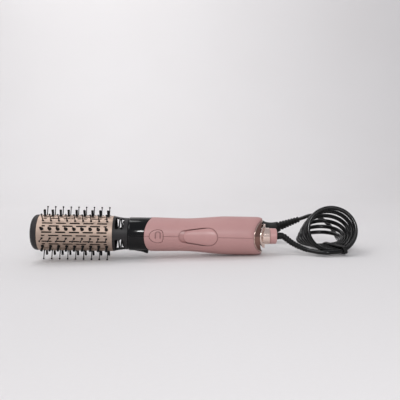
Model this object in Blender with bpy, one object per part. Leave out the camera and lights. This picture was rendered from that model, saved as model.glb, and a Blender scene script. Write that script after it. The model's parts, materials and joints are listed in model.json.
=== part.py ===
"""Hot air brush with a turning barrel, as an assembly of separate pieces.

Lengths are millimetres until a mesh is made. The brush is drawn along its own axis:
x runs from the brush tip to the tail, and an angle goes round that axis from the front
side (minus Y) up to the top (plus Z). The cord is drawn in the world, on the floor.
"""

import math

import bmesh
import bpy
import numpy as np
from mathutils import Matrix, Vector

MM = 0.001

# Clearances
GAP = 0.3
RUNNING_GAP = 0.5

# Barrel: a perforated metal sleeve between a domed end cap and a vented collar
END_CAP_LENGTH = 10.5
END_CAP_FLAT_RADIUS = 14.0
END_CAP_WALL = 3.6
BARREL_RADIUS = 24.6
BARREL_LENGTH = 101.7
BARREL_WALL = 0.8
SPIGOT_LENGTH = 2.2
COLLAR_LENGTH = 20.8
COLLAR_REAR_RADIUS = 21.9
COLLAR_WALL = 2.0
COLLAR_SLOT_WIDTH = 5.0
COLLAR_SLOT_PITCH = 6.8
COLLAR_SLOT_ARC = math.radians(55.0)
COLLAR_SLOT_GROUPS = 4
COLLAR_SLOT_TURN = math.radians(49.0)

# Slot pattern of the sleeve, two staggered rows between neighbouring bristle rows
SLOT_BRIDGE = 4.2
SLOT_OVERHANG = 5.7
SLOT_WIDTH = 2.0
LONG_SLOTS = 5

# Bristles: rows of ball-tipped pins alternate with rows of tufts
ROW_PAIRS = 6
COLUMNS = 9
FIRST_COLUMN_SETBACK = 7.7
LAST_COLUMN_SETBACK = 7.4
TUFT_ROW_TURN = math.radians(18.5)
PIN_TIP_RADIUS = 37.8
PIN_WIDTH = 1.7
PIN_BALL_WIDTH = 2.6
PIN_HOLE = 2.4
PIN_SIDES = 3
TUFT_TIP_RADIUS = 33.6
TUFT_WIDTH = 3.4
TUFT_HOLE = 4.0
TUFT_STRANDS = 5
TUFT_SPLAY = 1.35
STRIP_WIDTH = 5.0
STRIP_HEIGHT = 3.3

# Core of the barrel
CORE_RADIUS = 5.0
HEX_ACROSS = 6.0
CARRIER_WIDTH = 5.0
CARRIER_INSET = 12.0
CARRIER_RIM = 3.2
CARRIER_SPOKES = 3
SPOKE_WIDTH = 3.0

# Nose: two black halves that carry the barrel and plug into the handle
NOSE_RADIUS = 23.1
NOSE_LENGTH = 31.8
NOSE_WALL = 2.2
NOSE_SKIRT = 3.0
AIR_TUBE_RADIUS = 14.4
AIR_TUBE_WALL = 1.3
BUSH_LENGTH = 3.6
BUSH_WALL = 1.4

# Release latch under the nose
LATCH_FROM_NOSE = 7.0
LATCH_LENGTH = 20.5
LATCH_WIDTH = 9.0
LATCH_RISE = 3.5
LATCH_PIN_RADIUS = 0.8

# Handle: two shells, parted on the horizontal plane, with swept front and rear edges
HANDLE_LENGTH = 155.1
HANDLE_FRONT_RADIUS = 23.5
HANDLE_WAIST_RADIUS = 22.8
HANDLE_REAR_RADIUS = 26.6
SWELL_FROM_FRONT = 46.0
SWELL_LENGTH = 63.0
SHELL_WALL = 2.6
FRONT_SWEEP = 9.4
REAR_SWEEP = 14.4
SWEEP_ROUND = 7.0
LIP_LENGTH = 9.0
LIP_DROP = 2.6
LIP_WALL = 1.6

# Controls on the front side of the handle
BUTTON_FROM_FRONT = 9.4
BUTTON_AHEAD = 11.6
BUTTON_BEHIND = 7.3
BUTTON_HALF_HEIGHT = 8.8
BUTTON_PROUD = 0.5
BUTTON_THICKNESS = 2.0
BUTTON_TRAVEL = 1.2
BUTTON_ARCH_WIDTH = 6.6
BUTTON_ARCH_HEIGHT = 10.0
BUTTON_ARCH_RISE = 0.9
SLIDER_FROM_REAR = 76.4
SLIDER_LARGE_RADIUS = 12.2
SLIDER_SMALL_RADIUS = 8.5
SLIDER_CENTRES = 25.8
SLIDER_TRAVEL = 6.6
SLIDER_PROUD = 1.2
SLIDER_SKIRT = 2.4
SLIDER_SKIRT_THICKNESS = 1.1

# Inside the handle
BULKHEAD_WIDTH = 3.0
BULKHEAD_HUB = 2.2
HEATER_SLEEVE_RADIUS = 14.4
HEATER_SLEEVE_WALL = 1.0
HEATER_COIL_RADIUS = 11.6
HEATER_WIRE = 0.9
HEATER_TURNS = 4
MICA_THICKNESS = 0.8
GEAR_MOTOR_RADIUS = 8.0
GEAR_MOTOR_LENGTH = 24.0
GEAR_MOTOR_AHEAD = 10.0
DRIVE_SHAFT_RADIUS = 2.5
DRIVE_SHAFT_GRIP = 6.0
FAN_MOTOR_RADIUS = 10.5
FAN_MOTOR_LENGTH = 26.0
FAN_SHAFT_RADIUS = 1.2
FAN_SHAFT_LENGTH = 9.0
FAN_RADIUS = 21.5
FAN_HUB_RADIUS = 5.5
FAN_WIDTH = 8.0
FAN_BLADES = 7
FAN_PITCH = math.radians(40.0)
FAN_ROOT_CHORD = 3.6
FAN_TIP_CHORD = 7.0
FAN_BLADE_THICKNESS = 1.0
BOARD_DEPTH = 16.2
BOARD_THICKNESS = 1.2
BOARD_WIDTH = 12.0
PUSH_SWITCH_SIZE = 6.0
PUSH_SWITCH_HEIGHT = 3.5
SLIDE_SWITCH_LENGTH = 14.0
SLIDE_SWITCH_HEIGHT = 1.4

# Tail: air inlet ring, flange and neck, swivel cap
INLET_RING_EDGE = 0.7
INLET_RING_SWEEP = 6.2
INLET_RING_WALL = 2.0
INLET_RING_DEPTH = 20.0
INLET_RING_TAPER = 1.0
FILTER_THICKNESS = 1.2
FLANGE_RADIUS = 17.0
FLANGE_EDGE = 4.9
FLANGE_SWEEP = 7.9
FLANGE_THICKNESS = 2.2
NECK_RADIUS = 11.6
NECK_BORE = 7.5
NECK_LENGTH = 9.5
TAIL_HUB_DEPTH = 22.0
TAIL_SPOKES = 4
SWIVEL_RADIUS = 11.0
SWIVEL_LENGTH = 9.5
SWIVEL_ROUND = 1.6
SWIVEL_BORE = 5.2

# Cord, on the floor behind and beside the tail
CORD_RADIUS = 2.9
GUARD_RADIUS = 5.0
GUARD_LENGTH = 50.0
COIL_HALF_WIDTH = 32.0
COIL_HALF_HEIGHT = 31.1
COIL_SHRINK = 1.14
COIL_TURNS = 6.25
COIL_CENTRE_X = 244.4
COIL_FRONT_Y = -33.2
COIL_STEP = 9.95
COIL_TILT_FRONT = math.radians(79.6)
COIL_TILT_BACK = math.radians(7.2)
COIL_POINTS = 24
TIE_TURN = 0.045
TIE_WIDTH = 5.0
TIE_CLEARANCE = 1.5
TIE_THICKNESS = 0.9
PLUG_FLANGE_RADIUS = 18.0
PLUG_LENGTH = 62.0
PLUG_RELIEF_RADIUS = 4.6
PLUG_RIBS = 5
PLUG_PIN_RADIUS = 2.4
PLUG_PIN_LENGTH = 19.0
PLUG_PIN_SPACING = 19.0
PLUG_AIM = Vector((-53.0, 26.0, -22.0)).normalized()
PLUG_FACE = Vector((170.1, 111.7, 0.0))

# Facets
ROUND = 20
CORE_ROUND = 12
PLUG_SIDES = 10
HALF_TURN_STEPS = ROUND // 2

# Places along the axis that follow from the sizes above
BARREL_START = END_CAP_LENGTH
COLLAR_START = BARREL_START + BARREL_LENGTH
NOSE_START = COLLAR_START + COLLAR_LENGTH
HANDLE_FRONT = NOSE_START + NOSE_LENGTH
HANDLE_REAR = HANDLE_FRONT + HANDLE_LENGTH
LATCH_FRONT = NOSE_START + LATCH_FROM_NOSE
BUTTON_MIDDLE = HANDLE_FRONT + BUTTON_FROM_FRONT
SLIDER_MIDDLE = HANDLE_REAR - SLIDER_FROM_REAR
FRONT_BULKHEAD = BUTTON_MIDDLE + BUTTON_BEHIND + RUNNING_GAP
REAR_BULKHEAD = SLIDER_MIDDLE + SLIDER_LARGE_RADIUS + SLIDER_SKIRT + 2 * RUNNING_GAP
AIR_TUBE_END = FRONT_BULKHEAD - GAP
GEAR_MOTOR_FRONT = FRONT_BULKHEAD - GEAR_MOTOR_AHEAD
BOARD_FRONT = HANDLE_FRONT - FRONT_SWEEP + NOSE_SKIRT + 2 * RUNNING_GAP
INLET_EDGE = HANDLE_REAR + INLET_RING_EDGE
FLANGE_TOP = HANDLE_REAR + FLANGE_EDGE
NECK_END = FLANGE_TOP - FLANGE_SWEEP / 2 + NECK_LENGTH
SWIVEL_START = NECK_END + GAP
TAIL_END = SWIVEL_START + SWIVEL_LENGTH
BARREL_INNER = BARREL_RADIUS - BARREL_WALL
STRIP_TOP = BARREL_INNER - RUNNING_GAP
STRIP_BASE = STRIP_TOP - STRIP_HEIGHT
STRIP_START = BARREL_START + SPIGOT_LENGTH + GAP
FIRST_COLUMN = BARREL_START + FIRST_COLUMN_SETBACK
LAST_COLUMN = COLLAR_START - LAST_COLUMN_SETBACK
COLUMN_PITCH = (LAST_COLUMN - FIRST_COLUMN) / (COLUMNS - 1)
STRIP_END = LAST_COLUMN + STRIP_WIDTH / 2
SLOT_PITCH = (LAST_COLUMN - FIRST_COLUMN + SLOT_OVERHANG) / LONG_SLOTS
SLOT_LENGTH = SLOT_PITCH - SLOT_BRIDGE


def smooth_step(start, end, x):
    t = min(max((x - start) / (end - start), 0.0), 1.0)
    return t * t * (3.0 - 2.0 * t)


def handle_radius(x):
    """Outer radius of the handle: a slight waist, then a swell for the palm."""
    swell_start = HANDLE_FRONT + SWELL_FROM_FRONT
    waist = smooth_step(HANDLE_FRONT, swell_start, x) * (HANDLE_FRONT_RADIUS - HANDLE_WAIST_RADIUS)
    swell = smooth_step(swell_start, swell_start + SWELL_LENGTH, x)
    return HANDLE_FRONT_RADIUS - waist + swell * (HANDLE_REAR_RADIUS - HANDLE_WAIST_RADIUS)


def swept_edge(x_top, sweep, reach, lateral):
    """An edge that is furthest back at top and bottom and comes forward at both sides."""
    rise = math.hypot(lateral, SWEEP_ROUND) - SWEEP_ROUND
    full = math.hypot(reach, SWEEP_ROUND) - SWEEP_ROUND
    return x_top - sweep * rise / full


def front_edge(angle):
    return swept_edge(HANDLE_FRONT, FRONT_SWEEP, HANDLE_FRONT_RADIUS, HANDLE_FRONT_RADIUS * math.cos(angle))


def rear_edge(angle):
    return swept_edge(HANDLE_REAR, REAR_SWEEP, HANDLE_REAR_RADIUS, HANDLE_REAR_RADIUS * math.cos(angle))


def at(x, radius, angle):
    """Point at a distance along the axis, a radius and an angle round it."""
    return Vector((x, -radius * math.cos(angle), radius * math.sin(angle)))


def front_depth(radius, z):
    """Y of a round surface on the front side of the axis, at a height."""
    return -math.sqrt(radius * radius - z * z)


def clear_scene():
    for old in list(bpy.data.objects):
        bpy.data.objects.remove(old, do_unlink=True)


def make_material(name, colour, roughness, metallic=0.0):
    made = bpy.data.materials.new(name)
    made.use_nodes = True
    shader = made.node_tree.nodes["Principled BSDF"]
    shader.inputs["Base Color"].default_value = (*colour, 1.0)
    shader.inputs["Roughness"].default_value = roughness
    shader.inputs["Metallic"].default_value = metallic
    return made


clear_scene()
BRUSH_FRAME = bpy.data.objects.new("brush_frame", None)
bpy.context.scene.collection.objects.link(BRUSH_FRAME)

ROSE_METAL = make_material("rose_metal", (0.62, 0.44, 0.33), 0.32, 1.0)
ROSE_CHROME = make_material("rose_chrome", (0.70, 0.55, 0.49), 0.12, 1.0)
PINK_PLASTIC = make_material("pink_plastic", (0.47, 0.25, 0.24), 0.38)
BLACK_PLASTIC = make_material("black_plastic", (0.018, 0.018, 0.02), 0.30)
BLACK_NYLON = make_material("black_nylon", (0.02, 0.02, 0.022), 0.45)
BLACK_RUBBER = make_material("black_rubber", (0.015, 0.015, 0.016), 0.50)
GREY_PLASTIC = make_material("grey_plastic", (0.30, 0.30, 0.31), 0.50)
STEEL = make_material("steel", (0.56, 0.56, 0.58), 0.30, 1.0)
BRASS = make_material("plug_pin_metal", (0.70, 0.66, 0.60), 0.25, 1.0)
MICA = make_material("mica_board", (0.45, 0.36, 0.22), 0.60)
CIRCUIT_GREEN = make_material("circuit_board", (0.03, 0.16, 0.07), 0.45)


# Building blocks

def add_piece(name, bm, material, parent=BRUSH_FRAME, location=(0.0, 0.0, 0.0), turn=0.0):
    """Closes a mesh drawn in millimetres and adds it as a named object in metres."""
    bmesh.ops.remove_doubles(bm, verts=bm.verts, dist=0.0005)
    bmesh.ops.recalc_face_normals(bm, faces=bm.faces)
    if bm.calc_volume(signed=True) < 0.0:
        bmesh.ops.reverse_faces(bm, faces=bm.faces)
    bmesh.ops.scale(bm, vec=(MM, MM, MM), verts=bm.verts)
    mesh = bpy.data.meshes.new(name)
    bm.to_mesh(mesh)
    bm.free()
    mesh.materials.append(material)
    mesh.shade_smooth()
    mesh.set_sharp_from_angle(angle=math.radians(35.0))
    return place_mesh(name, mesh, parent, location, turn)


def place_mesh(name, mesh, parent=BRUSH_FRAME, location=(0.0, 0.0, 0.0), turn=0.0):
    """Puts a mesh in the scene, turned round the brush's axis."""
    piece = bpy.data.objects.new(name, mesh)
    bpy.context.scene.collection.objects.link(piece)
    piece.parent = parent
    piece.location = Vector(location) * MM
    piece.rotation_euler = (-turn, 0.0, 0.0)
    return piece


def combine(piece, tool, operation):
    """Cuts a piece with a tool, or joins the tool to it."""
    modifier = piece.modifiers.new(tool.name, "BOOLEAN")
    modifier.operation = operation
    modifier.solver = "EXACT"
    modifier.object = tool
    tool.hide_render = True
    tool.display_type = "WIRE"


def skin_sections(bm, sections, closed):
    """Skins a row of closed outlines with equal counts; an open row gets two flat ends."""
    rows = [[bm.verts.new(point) for point in section] for section in sections]
    last = len(rows) if closed else len(rows) - 1
    for index in range(last):
        row = rows[index]
        after = rows[(index + 1) % len(rows)]
        for j in range(len(row)):
            k = (j + 1) % len(row)
            bm.faces.new((row[j], row[k], after[k], after[j]))
    if not closed:
        bm.faces.new(rows[0])
        bm.faces.new(rows[-1][::-1])


def stack_rings(bm, rings):
    """Joins closed rings one after the other; a ring of one repeated point ends the form."""
    rows = [[bm.verts.new(point) for point in ring] for ring in rings]
    for row, after in zip(rows, rows[1:]):
        for j in range(len(row)):
            k = (j + 1) % len(row)
            bm.faces.new((row[j], row[k], after[k], after[j]))


def turned(profile, steps=ROUND, start=0.0):
    """Solid of revolution round the axis from a closed outline of (x, radius)."""
    bm = bmesh.new()
    angles = [start + math.tau * i / steps for i in range(steps)]
    skin_sections(bm, [[at(x, r, angle) for x, r in profile] for angle in angles], True)
    return bm


def ring_profile(low_x, high_x, inner, outer):
    """Outline in (x, radius) of a plain ring."""
    return [(low_x, outer), (high_x, outer), (high_x, inner), (low_x, inner)]


def add_block(bm, low, high):
    """Adds a box between two corners."""
    size = Vector(high) - Vector(low)
    middle = (Vector(high) + Vector(low)) / 2
    matrix = Matrix.Translation(middle) @ Matrix.Diagonal((*size, 1.0))
    bmesh.ops.create_cube(bm, size=1.0, matrix=matrix)


def add_spokes(bm, count, inner, outer, low_x, high_x, width):
    """Adds radial bars, as separate boxes, between two radii."""
    for index in range(count):
        bar = bmesh.new()
        add_block(bar, (low_x, -outer, -width / 2), (high_x, -inner, width / 2))
        bmesh.ops.rotate(bar, matrix=Matrix.Rotation(-math.tau * index / count, 3, "X"), verts=bar.verts)
        scratch = bpy.data.meshes.new("spoke")
        bar.to_mesh(scratch)
        bar.free()
        bm.from_mesh(scratch)
        bpy.data.meshes.remove(scratch)


def prism_along_y(outline, low_y, high_y):
    """Straight prism from an outline in (x, z)."""
    bm = bmesh.new()
    near = [Vector((x, low_y, z)) for x, z in outline]
    far = [Vector((x, high_y, z)) for x, z in outline]
    skin_sections(bm, [near, far], False)
    return bm


def circle_outline(radius, sides=8):
    """Outline in (x, z) of a small circle round the origin."""
    turns = [math.tau * i / sides for i in range(sides)]
    return [(radius * math.cos(a), radius * math.sin(a)) for a in turns]


def tapered_outline(x_small, r_small, x_large, r_large, steps=6):
    """Outline in (x, z) round a small circle ahead and a large circle behind."""
    lean = math.asin((r_large - r_small) / (x_large - x_small))
    points = []
    for i in range(steps + 1):
        angle = (math.pi / 2 + lean) - (math.pi + 2 * lean) * i / steps
        points.append((x_large + r_large * math.cos(angle), r_large * math.sin(angle)))
    for i in range(steps + 1):
        angle = -(math.pi / 2 + lean) - (math.pi - 2 * lean) * i / steps
        points.append((x_small + r_small * math.cos(angle), r_small * math.sin(angle)))
    return points


def grown(outline, centre_x, amount):
    """Moves each point of an outline away from its centre by an amount."""
    moved = []
    for x, z in outline:
        reach = math.hypot(x - centre_x, z)
        share = (reach + amount) / reach
        moved.append((centre_x + (x - centre_x) * share, z * share))
    return moved


# Barrel

def make_end_cap():
    """Black dome that closes the barrel, with a spigot inside the sleeve."""
    seat = BARREL_START - GAP
    spigot = BARREL_INNER - GAP
    steps = 5
    profile = [(0.0, 0.0)]
    for i in range(steps + 1):
        angle = math.pi / 2 * i / steps
        profile.append((seat * 0.72 * (1 - math.cos(angle)),
                        END_CAP_FLAT_RADIUS + (BARREL_RADIUS - END_CAP_FLAT_RADIUS) * math.sin(angle)))
    profile += [(seat, BARREL_RADIUS), (seat, spigot), (BARREL_START + SPIGOT_LENGTH, spigot)]
    inner = spigot - END_CAP_WALL / 2
    profile += [(BARREL_START + SPIGOT_LENGTH, inner), (seat - GAP, inner),
                (END_CAP_WALL, END_CAP_FLAT_RADIUS), (END_CAP_WALL, 0.0)]
    add_piece("end_cap", turned(profile), BLACK_PLASTIC)


def hole_spans(width):
    """Ends along the axis of the bristle holes of one row."""
    centres = [FIRST_COLUMN + i * COLUMN_PITCH for i in range(COLUMNS)]
    return [(c - width / 2, c + width / 2) for c in centres]


def slot_spans(staggered):
    """Ends along the axis of the slots of one row; a staggered row has half slots at its ends."""
    middle = (FIRST_COLUMN + LAST_COLUMN) / 2
    if not staggered:
        centres = [middle + (i - (LONG_SLOTS - 1) / 2) * SLOT_PITCH for i in range(LONG_SLOTS)]
        return [(c - SLOT_LENGTH / 2, c + SLOT_LENGTH / 2) for c in centres]
    first = middle - LONG_SLOTS * SLOT_PITCH / 2
    spans = [(first, first + SLOT_LENGTH / 2)]
    for i in range(1, LONG_SLOTS):
        centre = first + i * SLOT_PITCH
        spans.append((centre - SLOT_LENGTH / 2, centre + SLOT_LENGTH / 2))
    last = first + LONG_SLOTS * SLOT_PITCH
    return spans + [(last - SLOT_LENGTH / 2, last)]


def sleeve_bands():
    """Pierced bands round the sleeve, as (middle angle, half angle, spans), in order."""
    bands = []
    row_turn = math.pi / ROW_PAIRS
    slot_half = SLOT_WIDTH / 2 / BARREL_RADIUS
    for row in range(2 * ROW_PAIRS):
        middle = TUFT_ROW_TURN + row * row_turn
        hole = PIN_HOLE if row % 2 else TUFT_HOLE
        bands.append((middle, hole / 2 / BARREL_RADIUS, hole_spans(hole)))
        bands.append((middle + row_turn / 3, slot_half, slot_spans(True)))
        bands.append((middle + 2 * row_turn / 3, slot_half, slot_spans(False)))
    return bands


def zip_lines(bm, left, right, stations_left, stations_right, outward):
    """Fills the plain band between two lines of points with triangles."""
    i = 0
    j = 0
    while i < len(left) - 1 or j < len(right) - 1:
        left_next = stations_left[i + 1] if i < len(left) - 1 else math.inf
        right_next = stations_right[j + 1] if j < len(right) - 1 else math.inf
        if left_next <= right_next:
            corners = (left[i], left[i + 1], right[j])
            i += 1
        else:
            corners = (left[i], right[j + 1], right[j])
            j += 1
        bm.faces.new(corners if outward else corners[::-1])


def make_barrel_sleeve():
    """Rose metal tube, pierced by slots and bristle holes, built band by band."""
    bm = bmesh.new()
    start = BARREL_START
    end = COLLAR_START
    lines = []
    for middle, half, spans in sleeve_bands():
        stations = [start] + [x for span in spans for x in span] + [end]
        for angle in (middle - half, middle + half):
            outer = [bm.verts.new(at(x, BARREL_RADIUS, angle)) for x in stations]
            inner = [bm.verts.new(at(x, BARREL_INNER, angle)) for x in stations]
            lines.append((stations, outer, inner))
    for index in range(len(lines)):
        stations, outer, inner = lines[index]
        stations_b, outer_b, inner_b = lines[(index + 1) % len(lines)]
        pierced = index % 2 == 0
        if pierced:
            for k in range(len(stations) - 1):
                if k % 2 == 0:
                    bm.faces.new((outer[k], outer[k + 1], outer_b[k + 1], outer_b[k]))
                    bm.faces.new((inner[k], inner_b[k], inner_b[k + 1], inner[k + 1]))
                else:
                    bm.faces.new((outer[k], outer[k + 1], inner[k + 1], inner[k]))
                    bm.faces.new((outer_b[k], inner_b[k], inner_b[k + 1], outer_b[k + 1]))
                    bm.faces.new((outer[k], inner[k], inner_b[k], outer_b[k]))
                    bm.faces.new((outer[k + 1], outer_b[k + 1], inner_b[k + 1], inner[k + 1]))
        else:
            zip_lines(bm, outer, outer_b, stations, stations_b, True)
            zip_lines(bm, inner, inner_b, stations, stations_b, False)
        bm.faces.new((outer[0], outer_b[0], inner_b[0], inner[0]))
        bm.faces.new((outer[-1], inner[-1], inner_b[-1], outer_b[-1]))
    add_piece("barrel_sleeve", bm, ROSE_METAL)


def add_tuft(bm, x):
    """Tuft of splayed three-sided strands, standing on a peg that roots in the strip."""
    radius = TUFT_WIDTH / 2
    peg_top = BARREL_RADIUS + GAP
    root = STRIP_TOP - RUNNING_GAP
    turns = [math.tau * i / TUFT_STRANDS for i in range(TUFT_STRANDS)]
    ring = [(x + radius * math.cos(a), radius * math.sin(a)) for a in turns]
    low = [bm.verts.new((px, -root, pz)) for px, pz in ring]
    high = [bm.verts.new((px, -peg_top, pz)) for px, pz in ring]
    bm.faces.new(low)
    for j in range(TUFT_STRANDS):
        k = (j + 1) % TUFT_STRANDS
        bm.faces.new((low[k], low[j], high[j], high[k]))
    top = bm.faces.new(high[::-1])
    petals = bmesh.ops.poke(bm, faces=[top])["faces"]
    strands = bmesh.ops.extrude_discrete_faces(bm, faces=petals)["faces"]
    axis_point = Vector((x, -peg_top, 0.0))
    for strand in strands:
        middle = strand.calc_center_median()
        outward = (middle - axis_point) * TUFT_SPLAY
        for vert in strand.verts:
            vert.co = middle + (vert.co - middle) * 0.72 + outward
            vert.co.y = -TUFT_TIP_RADIUS


def add_pin(bm, x):
    """Pin of few sides with a ball tip, rooted in the strip."""
    ball = PIN_BALL_WIDTH / 2
    stem = PIN_WIDTH / 2
    root = STRIP_TOP - RUNNING_GAP
    stations = [(root, stem), (PIN_TIP_RADIUS - 2 * ball, stem * 0.8),
                (PIN_TIP_RADIUS - ball, ball), (PIN_TIP_RADIUS, ball * 0.45)]
    rings = []
    for radius, half in stations:
        turns = [math.tau * i / PIN_SIDES for i in range(PIN_SIDES)]
        rings.append([bm.verts.new((x + half * math.cos(a), -radius, half * math.sin(a))) for a in turns])
    for row, after in zip(rings, rings[1:]):
        for j in range(PIN_SIDES):
            k = (j + 1) % PIN_SIDES
            bm.faces.new((row[j], row[k], after[k], after[j]))
    bm.faces.new(rings[0][::-1])
    bm.faces.new(rings[-1])


def make_bristle_strips():
    """Rows of bristles, each on its own bar inside the sleeve; rows of one kind share a mesh."""
    for kind, add_bristle, turn in (("tuft", add_tuft, TUFT_ROW_TURN),
                                    ("pin", add_pin, TUFT_ROW_TURN + math.pi / ROW_PAIRS)):
        bristles = bmesh.new()
        for column in range(COLUMNS):
            add_bristle(bristles, FIRST_COLUMN + column * COLUMN_PITCH)
        tool = add_piece(kind + "_row", bristles, BLACK_NYLON)
        bar = bmesh.new()
        add_block(bar, (STRIP_START, -STRIP_TOP, -STRIP_WIDTH / 2), (STRIP_END, -STRIP_BASE, STRIP_WIDTH / 2))
        first = add_piece(kind + "_strip_1", bar, BLACK_NYLON)
        combine(first, tool, "UNION")
        graph = bpy.context.evaluated_depsgraph_get()
        joined = bpy.data.meshes.new_from_object(first.evaluated_get(graph))
        bpy.data.objects.remove(first, do_unlink=True)
        bpy.data.objects.remove(tool, do_unlink=True)
        for index in range(ROW_PAIRS):
            place_mesh(kind + "_strip_" + str(index + 1), joined, turn=turn + math.tau * index / ROW_PAIRS)


def make_carriers():
    """Spoked wheels on the core tube that the bristle strips lie on."""
    rim = STRIP_BASE - GAP
    hub = CORE_RADIUS + GAP
    for name, low in (("front_carrier", STRIP_START + CARRIER_INSET),
                      ("rear_carrier", STRIP_END - CARRIER_INSET - CARRIER_WIDTH)):
        high = low + CARRIER_WIDTH
        wheel = add_piece(name, turned(ring_profile(low, high, rim - CARRIER_RIM, rim)), GREY_PLASTIC)
        hub_profile = ring_profile(low, high, hub, hub + CARRIER_RIM)
        hub_tool = add_piece(name + "_hub", turned(hub_profile, CORE_ROUND), GREY_PLASTIC)
        spokes = bmesh.new()
        add_spokes(spokes, CARRIER_SPOKES, hub + CARRIER_RIM / 2, rim - CARRIER_RIM / 2,
                   low + RUNNING_GAP, high - RUNNING_GAP, SPOKE_WIDTH)
        spoke_tool = add_piece(name + "_spokes", spokes, GREY_PLASTIC)
        combine(hub_tool, spoke_tool, "UNION")
        combine(wheel, hub_tool, "UNION")


def hex_radius(angle, across):
    """Distance from the middle of a hexagon to its side, in a direction."""
    sixth = math.pi / 3
    return across / 2 / math.cos((angle % sixth) - sixth / 2)


def make_core_tube():
    """Round tube with a hexagonal bore that the drive shaft plugs into."""
    bm = bmesh.new()
    start = END_CAP_WALL + GAP
    end = STRIP_END + CARRIER_RIM
    sections = []
    for i in range(CORE_ROUND):
        angle = math.tau * i / CORE_ROUND
        bore = hex_radius(angle, HEX_ACROSS + 2 * GAP)
        sections.append([at(start, CORE_RADIUS, angle), at(end, CORE_RADIUS, angle),
                         at(end, bore, angle), at(start, bore, angle)])
    skin_sections(bm, sections, True)
    add_piece("core_tube", bm, GREY_PLASTIC)


def make_vent_collar():
    """Black collar behind the sleeve, pierced by pairs of vent slots all round."""
    start = COLLAR_START + GAP
    end = NOSE_START - GAP
    spigot = BARREL_INNER - GAP
    steps = 4
    outer = []
    for i in range(steps + 1):
        t = i / steps
        outer.append((start + (end - start) * t,
                      COLLAR_REAR_RADIUS + (BARREL_RADIUS - COLLAR_REAR_RADIUS) * (1 - t) ** 2))
    profile = [(start - SPIGOT_LENGTH, spigot), (start, spigot)] + outer
    profile += [(end, COLLAR_REAR_RADIUS - COLLAR_WALL), (start - SPIGOT_LENGTH, spigot - COLLAR_WALL)]
    collar = add_piece("vent_collar", turned(profile), BLACK_PLASTIC)
    slots = bmesh.new()
    arc_steps = 4
    first_slot = start + COLLAR_SLOT_WIDTH * 0.6
    for group in range(COLLAR_SLOT_GROUPS):
        middle = COLLAR_SLOT_TURN + math.tau * group / COLLAR_SLOT_GROUPS
        for pair in range(2):
            low = first_slot + pair * COLLAR_SLOT_PITCH
            high = low + COLLAR_SLOT_WIDTH
            sections = []
            for i in range(arc_steps + 1):
                angle = middle + COLLAR_SLOT_ARC * (i / arc_steps - 0.5)
                sections.append([at(low, CORE_RADIUS * 2, angle), at(high, CORE_RADIUS * 2, angle),
                                 at(high, BARREL_RADIUS * 1.2, angle), at(low, BARREL_RADIUS * 1.2, angle)])
            skin_sections(slots, sections, False)
    combine(collar, add_piece("vent_slot_cutter", slots, BLACK_PLASTIC), "DIFFERENCE")


# Nose and latch

def nose_section(angle):
    """Outline of the nose's wall at an angle, with the plug-in air tube inside it."""
    edge = front_edge(angle) - GAP
    skirt = handle_radius(HANDLE_FRONT) - SHELL_WALL - RUNNING_GAP
    bush_seat = COLLAR_REAR_RADIUS - COLLAR_WALL - BUSH_WALL - 2 * GAP
    lead = NOSE_START - BUSH_LENGTH
    inner = skirt - NOSE_WALL
    web = NOSE_START + NOSE_SKIRT * 2
    tube = AIR_TUBE_RADIUS - AIR_TUBE_WALL
    outline = [(lead, bush_seat), (NOSE_START, bush_seat), (NOSE_START, NOSE_RADIUS - NOSE_WALL / 2),
               (NOSE_START + NOSE_WALL, NOSE_RADIUS), (edge, NOSE_RADIUS), (edge, skirt),
               (edge + NOSE_SKIRT, skirt), (edge + NOSE_SKIRT, inner), (web, inner), (web, AIR_TUBE_RADIUS),
               (AIR_TUBE_END, AIR_TUBE_RADIUS), (AIR_TUBE_END, tube), (web - NOSE_WALL, tube),
               (lead, bush_seat - NOSE_WALL)]
    return [at(x, r, angle) for x, r in outline]


def half_angles(upper):
    """Angles from the front parting line, over or under the axis, to the back one."""
    sign = 1.0 if upper else -1.0
    return [sign * math.pi * i / HALF_TURN_STEPS for i in range(HALF_TURN_STEPS + 1)]


def make_halves(name, section, material):
    """Upper and lower half of a split piece, with a hair gap on the parting plane."""
    halves = {}
    for side, lift in (("upper", GAP / 2), ("lower", -GAP / 2)):
        bm = bmesh.new()
        skin_sections(bm, [section(angle) for angle in half_angles(side == "upper")], False)
        bmesh.ops.translate(bm, vec=(0.0, 0.0, lift), verts=bm.verts)
        halves[side] = add_piece(name + "_" + side, bm, material)
    return halves


def make_nose():
    halves = make_halves("nose", nose_section, BLACK_PLASTIC)
    opening = bmesh.new()
    side = LATCH_WIDTH / 2 + RUNNING_GAP
    add_block(opening, (LATCH_FRONT - RUNNING_GAP, -side, -NOSE_RADIUS * 1.2),
              (LATCH_FRONT + LATCH_LENGTH + RUNNING_GAP, side, -AIR_TUBE_RADIUS - RUNNING_GAP * 2))
    combine(halves["lower"], add_piece("latch_opening_cutter", opening, BLACK_PLASTIC), "DIFFERENCE")


def make_bearing_bush():
    """Ring that the barrel's collar turns on."""
    outer = COLLAR_REAR_RADIUS - COLLAR_WALL - GAP
    low = NOSE_START - BUSH_LENGTH
    high = NOSE_START - GAP
    add_piece("bearing_bush", turned(ring_profile(low, high, outer - BUSH_WALL, outer)), GREY_PLASTIC)


def latch_pivot():
    return (LATCH_FRONT + LATCH_PIN_RADIUS * 2.2, 0.0, -(NOSE_RADIUS - LATCH_PIN_RADIUS * 2.6))


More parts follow.
